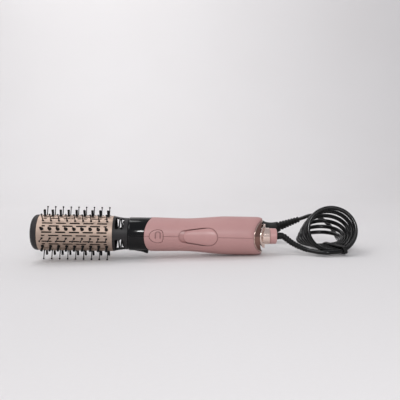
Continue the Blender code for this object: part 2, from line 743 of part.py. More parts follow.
def make_latch():
    """Release lever under the nose: hinged at its front, with a raised thumb pad behind."""
    pivot = Vector(latch_pivot())
    front = LATCH_FRONT - pivot.x
    rear = front + LATCH_LENGTH
    skin = -NOSE_RADIUS - pivot.z
    back = NOSE_WALL * 0.9
    outline = [(front, skin + 0.4), (front, back), (rear, back), (rear, skin - LATCH_RISE),
               (rear - LATCH_LENGTH * 0.1, skin - LATCH_RISE), (front + LATCH_LENGTH * 0.6, skin - LATCH_RISE * 0.4),
               (front + LATCH_LENGTH * 0.2, skin - 0.2)]
    lever = prism_along_y(outline, -LATCH_WIDTH / 2, LATCH_WIDTH / 2)
    latch = add_piece("release_latch", lever, BLACK_PLASTIC, location=pivot)
    bore = prism_along_y(circle_outline(LATCH_PIN_RADIUS + GAP), -LATCH_WIDTH, LATCH_WIDTH)
    combine(latch, add_piece("latch_bore_cutter", bore, BLACK_PLASTIC, location=pivot), "DIFFERENCE")
    reach = LATCH_WIDTH / 2 + RUNNING_GAP - GAP / 2
    pin = prism_along_y(circle_outline(LATCH_PIN_RADIUS), -reach, reach)
    add_piece("latch_pin", pin, STEEL, location=pivot)


# Handle

def shell_section(angle):
    """Outline of the handle's wall at an angle: outside from front to rear, then back inside."""
    front = front_edge(angle)
    rear = rear_edge(angle)
    outside = []
    stations = 8
    for i in range(stations + 1):
        x = front + (rear - LIP_LENGTH - front) * i / stations
        outside.append((x, handle_radius(x)))
    for turn in (math.pi / 6, math.pi / 3, math.pi / 2):
        x = rear - LIP_LENGTH * (1 - math.sin(turn))
        outside.append((x, handle_radius(x) - LIP_DROP * (1 - math.cos(turn))))
    inside = [(rear, handle_radius(rear) - LIP_DROP - LIP_WALL)]
    for i in range(1, stations + 1):
        x = rear + (front - rear) * i / stations
        inside.append((x, handle_radius(x) - SHELL_WALL))
    return [at(x, r, angle) for x, r in outside + inside]


def button_outline():
    """Outline in (x, z) of the rotation button: blunt behind, a broad arc ahead."""
    centre = BUTTON_MIDDLE
    count = 20
    points = []
    for i in range(count):
        angle = -math.tau * i / count
        ahead = math.cos(angle) < 0.0
        power = 1.0 if ahead else 0.65
        length = BUTTON_AHEAD if ahead else BUTTON_BEHIND
        x = math.copysign(abs(math.cos(angle)) ** power, math.cos(angle)) * length
        z = math.copysign(abs(math.sin(angle)) ** power, math.sin(angle)) * BUTTON_HALF_HEIGHT
        points.append((centre + x, z))
    return centre, points


def slider_outline(shift=0.0):
    """Outline in (x, z) of the thumb slider, moved ahead by a shift."""
    large = SLIDER_MIDDLE - shift
    return tapered_outline(large - SLIDER_CENTRES, SLIDER_SMALL_RADIUS, large, SLIDER_LARGE_RADIUS)


def slider_opening():
    """Outline in (x, z) of the hole that the slider travels in: its outline at both ends, joined."""
    rear = SLIDER_MIDDLE
    ahead = rear - SLIDER_TRAVEL
    small = SLIDER_SMALL_RADIUS + GAP
    large = SLIDER_LARGE_RADIUS + GAP
    forward = tapered_outline(ahead - SLIDER_CENTRES, small, ahead, large)
    behind = [(x + SLIDER_TRAVEL, z) for x, z in forward if x > ahead]
    upper = [(ahead, large), (rear, large)]
    lower = [(rear, -large), (ahead, -large)]
    return forward[:1] + upper + behind + lower + [point for point in forward[1:] if point[0] < ahead]


def make_shells():
    halves = make_halves("shell", shell_section, PINK_PLASTIC)
    centre, outline = button_outline()
    depth = BOARD_DEPTH - BOARD_THICKNESS
    far = -HANDLE_REAR_RADIUS * 1.3
    button_hole = prism_along_y(grown(outline, centre, GAP), far, -depth)
    button_cutter = add_piece("button_cutter", button_hole, PINK_PLASTIC)
    slider_hole = prism_along_y(slider_opening(), far, -depth)
    slider_cutter = add_piece("slider_cutter", slider_hole, PINK_PLASTIC)
    for shell in halves.values():
        combine(shell, button_cutter, "DIFFERENCE")
        combine(shell, slider_cutter, "DIFFERENCE")


def scaled_ring(outline, centre_x, share, radius_at):
    """Outline drawn in towards its centre and laid on a round surface."""
    ring = []
    for x, z in outline:
        px = centre_x + (x - centre_x) * share
        pz = z * share
        ring.append(Vector((px, front_depth(radius_at(px), pz), pz)))
    return ring


def make_slider():
    """Thumb slider: a crowned pad through the handle's wall on a skirt that closes its opening."""
    outline = slider_outline()
    large = SLIDER_MIDDLE
    centre = large - SLIDER_CENTRES / 3
    reach = tapered_outline(large - SLIDER_CENTRES - SLIDER_TRAVEL, SLIDER_SMALL_RADIUS, large,
                            SLIDER_LARGE_RADIUS)
    skirt = grown(reach, centre, SLIDER_SKIRT)

    def skirt_top(x):
        wall = min(handle_radius(x), handle_radius(x - SLIDER_TRAVEL)) - SHELL_WALL
        return wall - RUNNING_GAP - GAP

    def skirt_base(x):
        return skirt_top(x) - SLIDER_SKIRT_THICKNESS

    crown = ((0.0, 1.0), (0.55, 0.95), (0.9, 0.7), (1.0, 0.1))
    rings = []
    for share, rise in crown:
        rings.append(scaled_ring(outline, centre, share, lambda x: handle_radius(x) + SLIDER_PROUD * rise))
    rings.append(scaled_ring(outline, centre, 1.0, skirt_top))
    rings.append(scaled_ring(skirt, centre, 1.0, skirt_top))
    for share in (1.0, 0.35, 0.0):
        rings.append(scaled_ring(skirt, centre, share, skirt_base))
    bm = bmesh.new()
    stack_rings(bm, rings)
    add_piece("mode_slider", bm, PINK_PLASTIC)


def make_rotation_button():
    """Push button with a raised arch in a shallow dish."""
    centre, outline = button_outline()

    def crown(x):
        return handle_radius(x) + BUTTON_PROUD

    rings = []
    for share, rise in ((0.0, -0.7), (0.6, -0.6), (0.88, -0.1), (1.0, -0.6)):
        rings.append(scaled_ring(outline, centre, share, lambda x: crown(x) + rise))
    rings.append(scaled_ring(outline, centre, 1.0, lambda x: crown(x) - BUTTON_THICKNESS))
    rings.append(scaled_ring(outline, centre, 0.0, lambda x: crown(x) - BUTTON_THICKNESS))
    bm = bmesh.new()
    stack_rings(bm, rings)
    button = add_piece("rotation_button", bm, PINK_PLASTIC)
    arch = bmesh.new()
    sections = []
    half = BUTTON_ARCH_WIDTH / 2
    wire = BUTTON_ARCH_RISE
    leg = BUTTON_ARCH_HEIGHT - half
    bend = [math.pi * i / 6 for i in range(7)]
    crest = [(-half * math.cos(a), leg / 2 + half * math.sin(a)) for a in bend]
    path = [(-half, -leg / 2)] + crest + [(half, -leg / 2)]
    for index, (px, pz) in enumerate(path):
        before = path[max(index - 1, 0)]
        after = path[min(index + 1, len(path) - 1)]
        along = Vector((after[0] - before[0], after[1] - before[1])).normalized()
        across = Vector((along.y, -along.x)) * wire * 0.6
        top = front_depth(crown(centre + px) + BUTTON_ARCH_RISE * 0.35, pz)
        low = front_depth(crown(centre + px) - BUTTON_THICKNESS * 0.6, pz)
        sections.append([Vector((centre + px - across.x, low, pz - across.y)),
                         Vector((centre + px + across.x, low, pz + across.y)),
                         Vector((centre + px + across.x * 0.5, top, pz + across.y * 0.5)),
                         Vector((centre + px - across.x * 0.5, top, pz - across.y * 0.5))])
    skin_sections(arch, sections, False)
    combine(button, add_piece("button_arch", arch, PINK_PLASTIC), "UNION")


# Inside the handle

def make_bulkhead(name, low, hub_bore, reach_from):
    """Spoked wheel across the handle that holds a motor in its hub."""
    high = low + BULKHEAD_WIDTH
    outer = min(handle_radius(low), handle_radius(high)) - SHELL_WALL - GAP
    inner = reach_from
    wheel = add_piece(name, turned(ring_profile(low, high, inner, outer)), GREY_PLASTIC)
    hub_profile = ring_profile(low, high, hub_bore, hub_bore + BULKHEAD_HUB)
    hub_tool = add_piece(name + "_hub", turned(hub_profile, CORE_ROUND), GREY_PLASTIC)
    spokes = bmesh.new()
    add_spokes(spokes, CARRIER_SPOKES, hub_bore + BULKHEAD_HUB / 2, (inner + outer) / 2,
               low + RUNNING_GAP, high - RUNNING_GAP, SPOKE_WIDTH)
    bmesh.ops.rotate(spokes, matrix=Matrix.Rotation(math.pi / 2, 3, "X"), verts=spokes.verts)
    combine(hub_tool, add_piece(name + "_spokes", spokes, GREY_PLASTIC), "UNION")
    combine(wheel, hub_tool, "UNION")
    return wheel


def board_box(grow):
    """Corners of the control board, grown on every side that a notch has to clear."""
    return ((BOARD_FRONT - grow, -BOARD_DEPTH - grow, -BOARD_WIDTH / 2 - grow),
            (REAR_BULKHEAD - GAP + grow, -BOARD_DEPTH + BOARD_THICKNESS + grow, BOARD_WIDTH / 2 + grow))


def make_bulkheads():
    inner = HEATER_SLEEVE_RADIUS - HEATER_SLEEVE_WALL
    front = make_bulkhead("front_bulkhead", FRONT_BULKHEAD, GEAR_MOTOR_RADIUS + GAP, inner)
    notch = bmesh.new()
    add_block(notch, *board_box(GAP))
    combine(front, add_piece("board_notch_cutter", notch, GREY_PLASTIC), "DIFFERENCE")
    make_bulkhead("rear_bulkhead", REAR_BULKHEAD, FAN_MOTOR_RADIUS + GAP, HEATER_SLEEVE_RADIUS)


def make_heater():
    """Heater: a sleeve between the bulkheads, a crossed mica frame and its wound wire."""
    low = FRONT_BULKHEAD + BULKHEAD_WIDTH + GAP
    high = REAR_BULKHEAD - GAP
    inner = HEATER_SLEEVE_RADIUS - HEATER_SLEEVE_WALL
    add_piece("heater_sleeve", turned(ring_profile(low, high, inner, HEATER_SLEEVE_RADIUS)), STEEL)
    frame_start = GEAR_MOTOR_FRONT + GEAR_MOTOR_LENGTH + GAP
    frame = bmesh.new()
    half = MICA_THICKNESS / 2
    reach = HEATER_COIL_RADIUS - HEATER_WIRE / 2 - GAP
    cross = [(reach, half), (half, half), (half, reach), (-half, reach), (-half, half), (-reach, half),
             (-reach, -half), (-half, -half), (-half, -reach), (half, -reach), (half, -half), (reach, -half)]
    skin_sections(frame, [[Vector((x, y, z)) for y, z in cross] for x in (frame_start, high)], False)
    add_piece("heater_frame", frame, MICA)
    points = []
    per_turn = 8
    margin = HEATER_WIRE * 4
    for i in range(HEATER_TURNS * per_turn + 1):
        share = i / (HEATER_TURNS * per_turn)
        x = frame_start + margin + (high - frame_start - 2 * margin) * share
        points.append(at(x, HEATER_COIL_RADIUS, math.tau * HEATER_TURNS * share))
    add_tube("heater_coil", points, [HEATER_WIRE / 2] * len(points), STEEL, BRUSH_FRAME, 0)


def add_tube(name, points, radii, material, parent=None, resolution=1):
    """Tube along a row of points, as a bevelled curve with closed ends."""
    curve = bpy.data.curves.new(name, "CURVE")
    curve.dimensions = "3D"
    curve.bevel_depth = max(radii) * MM
    curve.bevel_resolution = resolution
    curve.use_fill_caps = True
    spline = curve.splines.new("POLY")
    spline.points.add(len(points) - 1)
    for slot, point, radius in zip(spline.points, points, radii):
        slot.co = (*(Vector(point) * MM), 1.0)
        slot.radius = radius / max(radii)
    curve.materials.append(material)
    tube = bpy.data.objects.new(name, curve)
    bpy.context.scene.collection.objects.link(tube)
    tube.parent = parent
    return tube


def make_motors():
    """Gear motor for the barrel, and the fan motor with its shaft towards the tail."""
    low = GEAR_MOTOR_FRONT
    high = low + GEAR_MOTOR_LENGTH
    bore = DRIVE_SHAFT_RADIUS + GAP
    depth = low + DRIVE_SHAFT_GRIP + GAP
    profile = [(depth, 0.0), (depth, bore), (low, bore), (low, GEAR_MOTOR_RADIUS), (high, GEAR_MOTOR_RADIUS),
               (high, 0.0)]
    add_piece("gear_motor", turned(profile, CORE_ROUND), STEEL)
    low = REAR_BULKHEAD
    high = low + FAN_MOTOR_LENGTH
    profile = [(low, 0.0), (low, FAN_MOTOR_RADIUS), (high, FAN_MOTOR_RADIUS), (high, FAN_SHAFT_RADIUS),
               (high + FAN_SHAFT_LENGTH, FAN_SHAFT_RADIUS), (high + FAN_SHAFT_LENGTH, 0.0)]
    add_piece("fan_motor", turned(profile, CORE_ROUND), STEEL)


def make_drive_shaft():
    """Hexagonal shaft from the gear motor into the core tube of the barrel."""
    bm = bmesh.new()
    start = STRIP_END - CARRIER_INSET
    step = GEAR_MOTOR_FRONT - GAP
    end = GEAR_MOTOR_FRONT + DRIVE_SHAFT_GRIP
    count = CORE_ROUND
    angles = [math.tau * i / count for i in range(count)]
    rings = [[at(start, 0.0, a) for a in angles],
             [at(start, hex_radius(a, HEX_ACROSS), a) for a in angles],
             [at(step, hex_radius(a, HEX_ACROSS), a) for a in angles],
             [at(step, DRIVE_SHAFT_RADIUS, a) for a in angles],
             [at(end, DRIVE_SHAFT_RADIUS, a) for a in angles],
             [at(end, 0.0, a) for a in angles]]
    stack_rings(bm, rings)
    add_piece("drive_shaft", bm, STEEL)


def make_fan_rotor():
    """Axial fan: a hub on the motor shaft with flat blades set at a pitch."""
    low = REAR_BULKHEAD + FAN_MOTOR_LENGTH + GAP
    high = low + FAN_WIDTH
    bore = FAN_SHAFT_RADIUS + GAP
    hub_profile = ring_profile(low, high, bore, FAN_HUB_RADIUS)
    rotor = add_piece("fan_rotor", turned(hub_profile, CORE_ROUND), BLACK_PLASTIC)
    blades = bmesh.new()
    middle = Vector(((low + high) / 2, 0.0, 0.0))
    reach = math.sqrt(FAN_RADIUS ** 2 - (FAN_TIP_CHORD / 2) ** 2)
    for index in range(FAN_BLADES):
        turn = math.tau * index / FAN_BLADES
        outward = at(0.0, 1.0, turn)
        ahead = Vector((1.0, 0.0, 0.0))
        across = ahead.cross(outward)
        chord = ahead * math.sin(FAN_PITCH) + across * math.cos(FAN_PITCH)
        face = ahead * math.cos(FAN_PITCH) - across * math.sin(FAN_PITCH)
        thick = face * FAN_BLADE_THICKNESS / 2
        sections = []
        for radius, width in ((FAN_HUB_RADIUS * 0.9, FAN_ROOT_CHORD), (reach, FAN_TIP_CHORD)):
            spot = middle + outward * radius
            half = chord * width / 2
            sections.append([spot - half - thick, spot + half - thick, spot + half + thick, spot - half + thick])
        skin_sections(blades, sections, False)
    combine(rotor, add_piece("fan_blades", blades, BLACK_PLASTIC), "UNION")


def make_controls():
    """Control board behind the buttons, with a push switch and a slide switch on it."""
    board = bmesh.new()
    add_block(board, *board_box(0.0))
    add_piece("control_board", board, CIRCUIT_GREEN)
    face = -BOARD_DEPTH - GAP
    button_x, _ = button_outline()
    half = PUSH_SWITCH_SIZE / 2
    push = bmesh.new()
    add_block(push, (button_x - half, face - PUSH_SWITCH_HEIGHT, -half), (button_x + half, face, half))
    add_piece("push_switch", push, BLACK_PLASTIC)
    slide_x = SLIDER_MIDDLE - SLIDER_CENTRES / 2
    slide = bmesh.new()
    add_block(slide, (slide_x - SLIDE_SWITCH_LENGTH / 2, face - SLIDE_SWITCH_HEIGHT, -half),
              (slide_x + SLIDE_SWITCH_LENGTH / 2, face, half))
    add_piece("slide_switch", slide, BLACK_PLASTIC)


# Tail

def inlet_edge(angle):
    return swept_edge(INLET_EDGE, INLET_RING_SWEEP, HANDLE_REAR_RADIUS, HANDLE_REAR_RADIUS * math.cos(angle))


def inlet_outer():
    return HANDLE_REAR_RADIUS - LIP_DROP - LIP_WALL - GAP


def make_inlet_ring():
    """Rose chrome trim round the air inlet, seated inside the rear of the shells."""
    outer = inlet_outer()
    inner = outer - INLET_RING_WALL
    sections = []
    for i in range(ROUND):
        angle = math.tau * i / ROUND
        edge = inlet_edge(angle)
        start = INLET_EDGE - INLET_RING_DEPTH
        outline = [(start, outer), (rear_edge(angle), outer), (edge, outer - INLET_RING_TAPER), (edge, inner),
                   (start, inner)]
        sections.append([at(x, r, angle) for x, r in outline])
    bm = bmesh.new()
    skin_sections(bm, sections, True)
    add_piece("inlet_ring", bm, ROSE_CHROME)


def flange_x(radius, angle):
    """Rear face of the swept flange."""
    return swept_edge(FLANGE_TOP, FLANGE_SWEEP, FLANGE_RADIUS, radius * math.cos(angle))


def make_tail_housing():
    """Flange and neck in one piece, held in the inlet ring by spokes."""
    hub_start = INLET_EDGE - TAIL_HUB_DEPTH
    sections = []
    for i in range(ROUND):
        angle = math.tau * i / ROUND
        root = flange_x(NECK_RADIUS, angle)
        rim = flange_x(FLANGE_RADIUS, angle)
        outline = [(hub_start, NECK_RADIUS), (root - FLANGE_THICKNESS, NECK_RADIUS),
                   (rim - FLANGE_THICKNESS, FLANGE_RADIUS), (rim, FLANGE_RADIUS), (root, NECK_RADIUS),
                   (NECK_END, NECK_RADIUS), (NECK_END, NECK_BORE), (hub_start, NECK_BORE)]
        sections.append([at(x, r, angle) for x, r in outline])
    bm = bmesh.new()
    skin_sections(bm, sections, True)
    housing = add_piece("tail_housing", bm, ROSE_CHROME)
    spokes = bmesh.new()
    reach = (inlet_outer() - INLET_RING_WALL) * math.cos(math.pi / ROUND) - GAP
    add_spokes(spokes, TAIL_SPOKES, (NECK_RADIUS + NECK_BORE) / 2, reach, hub_start + RUNNING_GAP,
               hub_start + SPOKE_WIDTH + RUNNING_GAP, SPOKE_WIDTH)
    combine(housing, add_piece("tail_spokes", spokes, ROSE_CHROME), "UNION")


def make_inlet_filter():
    """Thin ring of mesh between the neck and the inlet ring."""
    outer = inlet_outer() - INLET_RING_WALL - GAP
    inner = NECK_RADIUS + GAP
    low = INLET_EDGE - TAIL_HUB_DEPTH + SPOKE_WIDTH + RUNNING_GAP + GAP
    high = low + FILTER_THICKNESS
    add_piece("inlet_filter", turned(ring_profile(low, high, inner, outer)), STEEL)


def make_swivel_cap():
    """Pink cap that turns on the neck and holds the cord guard."""
    spigot = NECK_BORE - GAP
    depth = NECK_END - NECK_LENGTH
    start = SWIVEL_START
    end = TAIL_END
    cut = SWIVEL_ROUND * 0.3
    profile = [(depth, spigot), (start, spigot), (start, SWIVEL_RADIUS), (end - SWIVEL_ROUND, SWIVEL_RADIUS),
               (end - cut, SWIVEL_RADIUS - cut), (end, SWIVEL_RADIUS - SWIVEL_ROUND), (end, SWIVEL_BORE),
               (depth, SWIVEL_BORE)]
    add_piece("swivel_cap", turned(profile), PINK_PLASTIC)


# Resting on the floor

def place_brush():
    """Lays the brush on its lowest pins and the heel of its handle, centred on the origin."""
    pin_turn = TUFT_ROW_TURN + math.pi / ROW_PAIRS
    rows = [pin_turn + math.tau * i / ROW_PAIRS for i in range(ROW_PAIRS)]
    pin_depth = max(-PIN_TIP_RADIUS * math.sin(angle) for angle in rows)
    pin_x = LAST_COLUMN
    heel_x = HANDLE_REAR - LIP_LENGTH
    slope = math.atan2(pin_depth - HANDLE_REAR_RADIUS - GAP / 2, heel_x - pin_x)
    BRUSH_FRAME.rotation_euler = (0.0, slope, 0.0)
    bpy.context.view_layer.update()
    graph = bpy.context.evaluated_depsgraph_get()
    corners = []
    for piece in bpy.data.objects:
        if piece.parent is BRUSH_FRAME and not piece.hide_render:
            mesh = piece.evaluated_get(graph).to_mesh()
            corners += [piece.matrix_world @ vert.co for vert in mesh.vertices]
    cloud = np.array(corners)
    low = cloud.min(axis=0)
    high = cloud.max(axis=0)
    BRUSH_FRAME.location = (-(low[0] + high[0]) / 2, -(low[1] + high[1]) / 2, -low[2])
    bpy.context.view_layer.update()


def tail_exit():
    """Where the cord leaves the swivel cap, in world millimetres, and its direction."""
    place = BRUSH_FRAME.matrix_world
    point = place @ Vector((TAIL_END * MM, 0.0, 0.0)) / MM
    along = place.to_3x3() @ Vector((1.0, 0.0, 0.0))
    return point, along


# Cord

def smooth_path(points, spacing):
    """Points at an even spacing on a smooth curve through the chosen ones."""
    chosen = [Vector(p) for p in points]
    ends = [2 * chosen[0] - chosen[1]] + chosen + [2 * chosen[-1] - chosen[-2]]
    fine = []
    steps = 24
    for i in range(1, len(ends) - 2):
        p0, p1, p2, p3 = ends[i - 1:i + 3]
        for k in range(steps):
            t = k / steps
            fine.append(0.5 * ((2 * p1) + (p2 - p0) * t + (2 * p0 - 5 * p1 + 4 * p2 - p3) * t ** 2
                               + (3 * p1 - p0 - 3 * p2 + p3) * t ** 3))
    fine.append(chosen[-1])
    lengths = np.cumsum([0.0] + [(b - a).length for a, b in zip(fine, fine[1:])])
    count = max(int(round(lengths[-1] / spacing)), 2)
    wanted = np.linspace(0.0, lengths[-1], count + 1)
    axes = [np.interp(wanted, lengths, [p[axis] for p in fine]) for axis in range(3)]
    return [Vector(p) for p in zip(*axes)]


def coil_point(turn):
    """Point of the coil: oval loops that stand on their tie, lean back and fan out."""
    lean = COIL_TILT_FRONT + (COIL_TILT_BACK - COIL_TILT_FRONT) * turn / COIL_TURNS
    rise = (COIL_HALF_HEIGHT - COIL_SHRINK * turn) * (1 - math.cos(math.tau * turn))
    foot = CORD_RADIUS + TIE_CLEARANCE + TIE_THICKNESS + TIE_WIDTH / 2 * math.sin(math.tau * TIE_TURN) + GAP
    return Vector((COIL_CENTRE_X + COIL_HALF_WIDTH * math.sin(math.tau * turn),
                   COIL_FRONT_Y + COIL_STEP * turn + rise * math.cos(lean),
                   foot + rise * math.sin(lean)))


def coil_points():
    """Points of the coil, with a straight end of one diameter at each side."""
    count = round(COIL_TURNS * COIL_POINTS)
    loops = [coil_point(COIL_TURNS * i / count) for i in range(count + 1)]
    first = (coil_point(0.001) - coil_point(0.0)).normalized() * CORD_RADIUS * 2
    last = (coil_point(COIL_TURNS) - coil_point(COIL_TURNS - 0.001)).normalized() * CORD_RADIUS * 2
    return [loops[0] - first] + loops + [loops[-1] + last]


def report_coil_gap(points):
    """Prints the least clearance between turns of the coil, measured on its points."""
    cloud = np.array([coil_point(COIL_TURNS * i / 1800) for i in range(1801)])
    far = 120
    least = min(np.linalg.norm(cloud[i + far:] - cloud[i], axis=1).min() for i in range(len(cloud) - far - 1))
    length = sum((b - a).length for a, b in zip(points, points[1:]))
    print("coil: least gap", round(least - 2 * CORD_RADIUS, 2), "mm, length", round(length), "mm")


def make_cord():
    """Guard, lead, coil and tail of the mains cord, each a tube of its own."""
    spacing = CORD_RADIUS * 2
    start, along = tail_exit()
    coil = coil_points()
    report_coil_gap(coil)
    run_in = (coil[1] - coil[0]).normalized()
    coil_start = coil[0] - run_in * GAP
    route = [start + along * GAP, start + along * GUARD_RADIUS * 2, (192.5, -6.0, 15.8), (208.0, -16.5, 8.6),
             (221.0, -26.5, 6.2), coil_start - run_in * spacing, coil_start]
    path = smooth_path(route, spacing)
    guard_count = round(GUARD_LENGTH / spacing)
    guard = path[:guard_count + 1]
    slim = CORD_RADIUS * 1.15 - GUARD_RADIUS
    radii = [GUARD_RADIUS + slim * i / guard_count for i in range(guard_count + 1)]
    add_tube("cord_guard", guard, radii, BLACK_RUBBER, None, 2)
    leave = (guard[-1] - guard[-2]).normalized()
    lead = square_ends([guard[-1] + leave * GAP] + path[guard_count + 1:], leave, run_in)
    add_tube("cord_lead", lead, [CORD_RADIUS] * len(lead), BLACK_RUBBER)
    add_tube("cord_coil", coil, [CORD_RADIUS] * len(coil), BLACK_RUBBER)
    run_out = (coil[-1] - coil[-2]).normalized()
    coil_end = coil[-1] + run_out * GAP
    plug_end = plug_place() @ Vector((PLUG_LENGTH + GAP, 0.0, 0.0))
    route = [coil_end, coil_end + run_out * spacing, (275.0, 74.0, 18.5), (268.5, 80.0, 29.5),
             (256.0, 80.5, 40.0), (241.0, 77.8, 45.5), plug_end - PLUG_AIM * spacing, plug_end]
    tail = square_ends(smooth_path(route, spacing), run_out, PLUG_AIM)
    add_tube("cord_tail", tail, [CORD_RADIUS] * len(tail), BLACK_RUBBER)


def square_ends(path, first, last):
    """Keeps the first and last stretch of a path straight and square to what they meet."""
    spacing = CORD_RADIUS * 2
    path[1] = path[0] + first * spacing
    path[-2] = path[-1] - last * spacing
    return path


def plug_place():
    """Frame of the plug: x runs from its pin face to the cord, and its flange stands on the floor."""
    aim = -PLUG_AIM
    side = Vector((0.0, 0.0, 1.0)).cross(aim).normalized()
    up = aim.cross(side)
    height = PLUG_FLANGE_RADIUS * up.z + GAP
    matrix = Matrix((aim, side, up)).transposed().to_4x4()
    matrix.translation = PLUG_FACE + Vector((0.0, 0.0, height))
    return matrix


def make_plug():
    """Two-pin plug: round flange, waisted body and ribbed strain relief, with its pins."""
    flange = PLUG_FLANGE_RADIUS
    relief = PLUG_RELIEF_RADIUS
    profile = [(0.0, 0.0), (0.0, flange - 1.0), (1.0, flange), (4.5, flange), (6.5, flange - 2.5),
               (14.0, flange * 0.62), (22.0, relief * 1.9), (27.0, relief * 1.7)]
    first = 29.0
    pitch = (PLUG_LENGTH - first) / PLUG_RIBS
    for rib in range(PLUG_RIBS):
        thick = relief * (1.5 - 0.6 * rib / PLUG_RIBS)
        x = first + pitch * rib
        profile += [(x, thick * 0.8), (x + pitch * 0.3, thick), (x + pitch * 0.7, thick)]
    profile += [(PLUG_LENGTH, relief * 0.85), (PLUG_LENGTH, 0.0)]
    place = plug_place()
    body = turned(profile, PLUG_SIDES, math.pi / PLUG_SIDES)
    bmesh.ops.transform(body, matrix=place, verts=body.verts)
    add_piece("plug_body", body, BLACK_RUBBER, None)
    for index, side in ((1, -0.5), (2, 0.5)):
        point = -PLUG_PIN_LENGTH
        cut = PLUG_PIN_RADIUS * 0.6
        outline = [(point, 0.0), (point, cut), (point + cut, PLUG_PIN_RADIUS), (-GAP, PLUG_PIN_RADIUS)]
        outline.append((-GAP, 0.0))
        pin = turned(outline, PLUG_SIDES)
        bmesh.ops.translate(pin, vec=(0.0, PLUG_PIN_SPACING * side, 0.0), verts=pin.verts)
        bmesh.ops.transform(pin, matrix=place, verts=pin.verts)
        add_piece("plug_pin_" + str(index), pin, BRASS, None)


def make_cord_tie():
    """Flat band that holds the loops together near the floor."""
    passes = [coil_point(turn + TIE_TURN) for turn in range(math.ceil(COIL_TURNS))]
    along = (coil_point(1 + TIE_TURN + 0.01) - coil_point(1 + TIE_TURN - 0.01)).normalized()
    middle = sum(passes, Vector()) / len(passes)
    across = passes[-1] - passes[0]
    across = (across - along * across.dot(along)).normalized()
    up = along.cross(across)
    spread = [((p - middle).dot(across), (p - middle).dot(up)) for p in passes]
    clear = CORD_RADIUS + TIE_CLEARANCE
    half_a = max(abs(a) for a, _ in spread) + clear
    half_u = max(abs(u) for _, u in spread) + clear
    corner = CORD_RADIUS
    bm = bmesh.new()
    sections = []
    for quarter, (sa, su) in enumerate(((1, 1), (-1, 1), (-1, -1), (1, -1))):
        for i in range(4):
            angle = math.pi / 2 * (quarter + i / 3)
            direction = across * math.cos(angle) + up * math.sin(angle)
            base = middle + across * sa * (half_a - corner) + up * su * (half_u - corner)
            near = base + direction * corner
            far = base + direction * (corner + TIE_THICKNESS)
            half = along * TIE_WIDTH / 2
            sections.append([near - half, near + half, far + half, far - half])
    skin_sections(bm, sections, True)
    add_piece("cord_tie", bm, BLACK_RUBBER, None)


make_end_cap()
make_barrel_sleeve()
make_bristle_strips()
make_carriers()
make_core_tube()
make_vent_collar()
make_nose()
make_bearing_bush()
make_latch()
make_shells()
make_slider()
make_rotation_button()
make_bulkheads()
make_heater()
make_motors()
make_drive_shaft()
make_fan_rotor()
make_controls()
make_inlet_ring()
make_tail_housing()
make_inlet_filter()
make_swivel_cap()
place_brush()
make_cord()
make_plug()
make_cord_tie()
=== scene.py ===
# %% [markdown]
# # Dressing a hot air brush
# The frame holds a rotating hot air brush as plain solids, each at its real size and place, in metres. This
# lesson gives every visible piece its finished form and surface. Nothing is moved: a new piece is built
# where the frame says, rides on the same body, and takes the place of the plain solid.

# %% Load the frame
import json
import math
import random

import bmesh
import bpy
from mathutils import Matrix, Vector
from mathutils.geometry import delaunay_2d_cdt


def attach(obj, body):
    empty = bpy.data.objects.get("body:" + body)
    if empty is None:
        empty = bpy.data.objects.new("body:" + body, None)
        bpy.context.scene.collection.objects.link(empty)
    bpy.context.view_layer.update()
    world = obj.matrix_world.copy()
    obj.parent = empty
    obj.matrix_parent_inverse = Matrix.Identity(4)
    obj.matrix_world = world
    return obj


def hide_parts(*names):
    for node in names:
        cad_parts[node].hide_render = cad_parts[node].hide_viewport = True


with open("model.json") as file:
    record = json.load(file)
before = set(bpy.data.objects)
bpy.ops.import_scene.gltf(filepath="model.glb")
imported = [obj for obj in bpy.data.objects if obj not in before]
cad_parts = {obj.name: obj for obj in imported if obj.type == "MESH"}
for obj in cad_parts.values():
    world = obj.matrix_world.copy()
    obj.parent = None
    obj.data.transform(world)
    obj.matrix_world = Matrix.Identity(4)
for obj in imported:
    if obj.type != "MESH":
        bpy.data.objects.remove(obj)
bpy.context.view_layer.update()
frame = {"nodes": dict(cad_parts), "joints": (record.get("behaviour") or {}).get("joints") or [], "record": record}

# %% [markdown]
# ## One ruler for the whole brush
# The brush lies on its bristles at one end and on its handle at the other, so its axis tips down a little
# towards the tail. Writing every size in tilted metres would be hard to read. Instead the axis is taken
# from the joint that the barrel turns on, and pieces are drawn in millimetres along it, from the tip to the
# tail.

# %% The brush's own millimetres
MM = 0.001
SPIN_JOINT = next(joint for joint in frame["joints"] if joint["name"] == "barrel_spin")
ALONG = Vector(SPIN_JOINT["axis"]).normalized()


def brush_matrix():
    """Takes millimetres along the brush, from its tip, to metres in the frame."""
    on_axis = Vector(SPIN_JOINT["pos_m"])
    tip_mark = Vector(frame["record"]["mounts"][0]["pos_m"])
    tip = on_axis + ALONG * ALONG.dot(tip_mark - on_axis)
    side = Vector((0.0, 1.0, 0.0))
    turn = Matrix((ALONG, side, ALONG.cross(side))).transposed().to_4x4()
    return Matrix.Translation(tip) @ turn @ Matrix.Scale(MM, 4)


BRUSH = brush_matrix()
TABLE = Matrix.Scale(MM, 4)


def at(x, radius, angle):
    """Point at a distance along the brush, a radius and an angle up from the front."""
    return Vector((x, -radius * math.cos(angle), radius * math.sin(angle)))


print("tip of the brush at", [round(value, 4) for value in BRUSH.translation])

# %% [markdown]
# ## The camera
# The photograph was taken from just above the table and from less than a metre away, near enough that the
# top bristles lean towards the middle of the picture. The camera is aimed so that one known point of the
# handle falls on the same pixel as there, and is rolled a little, because the brush's axis looks flatter
# than it is.

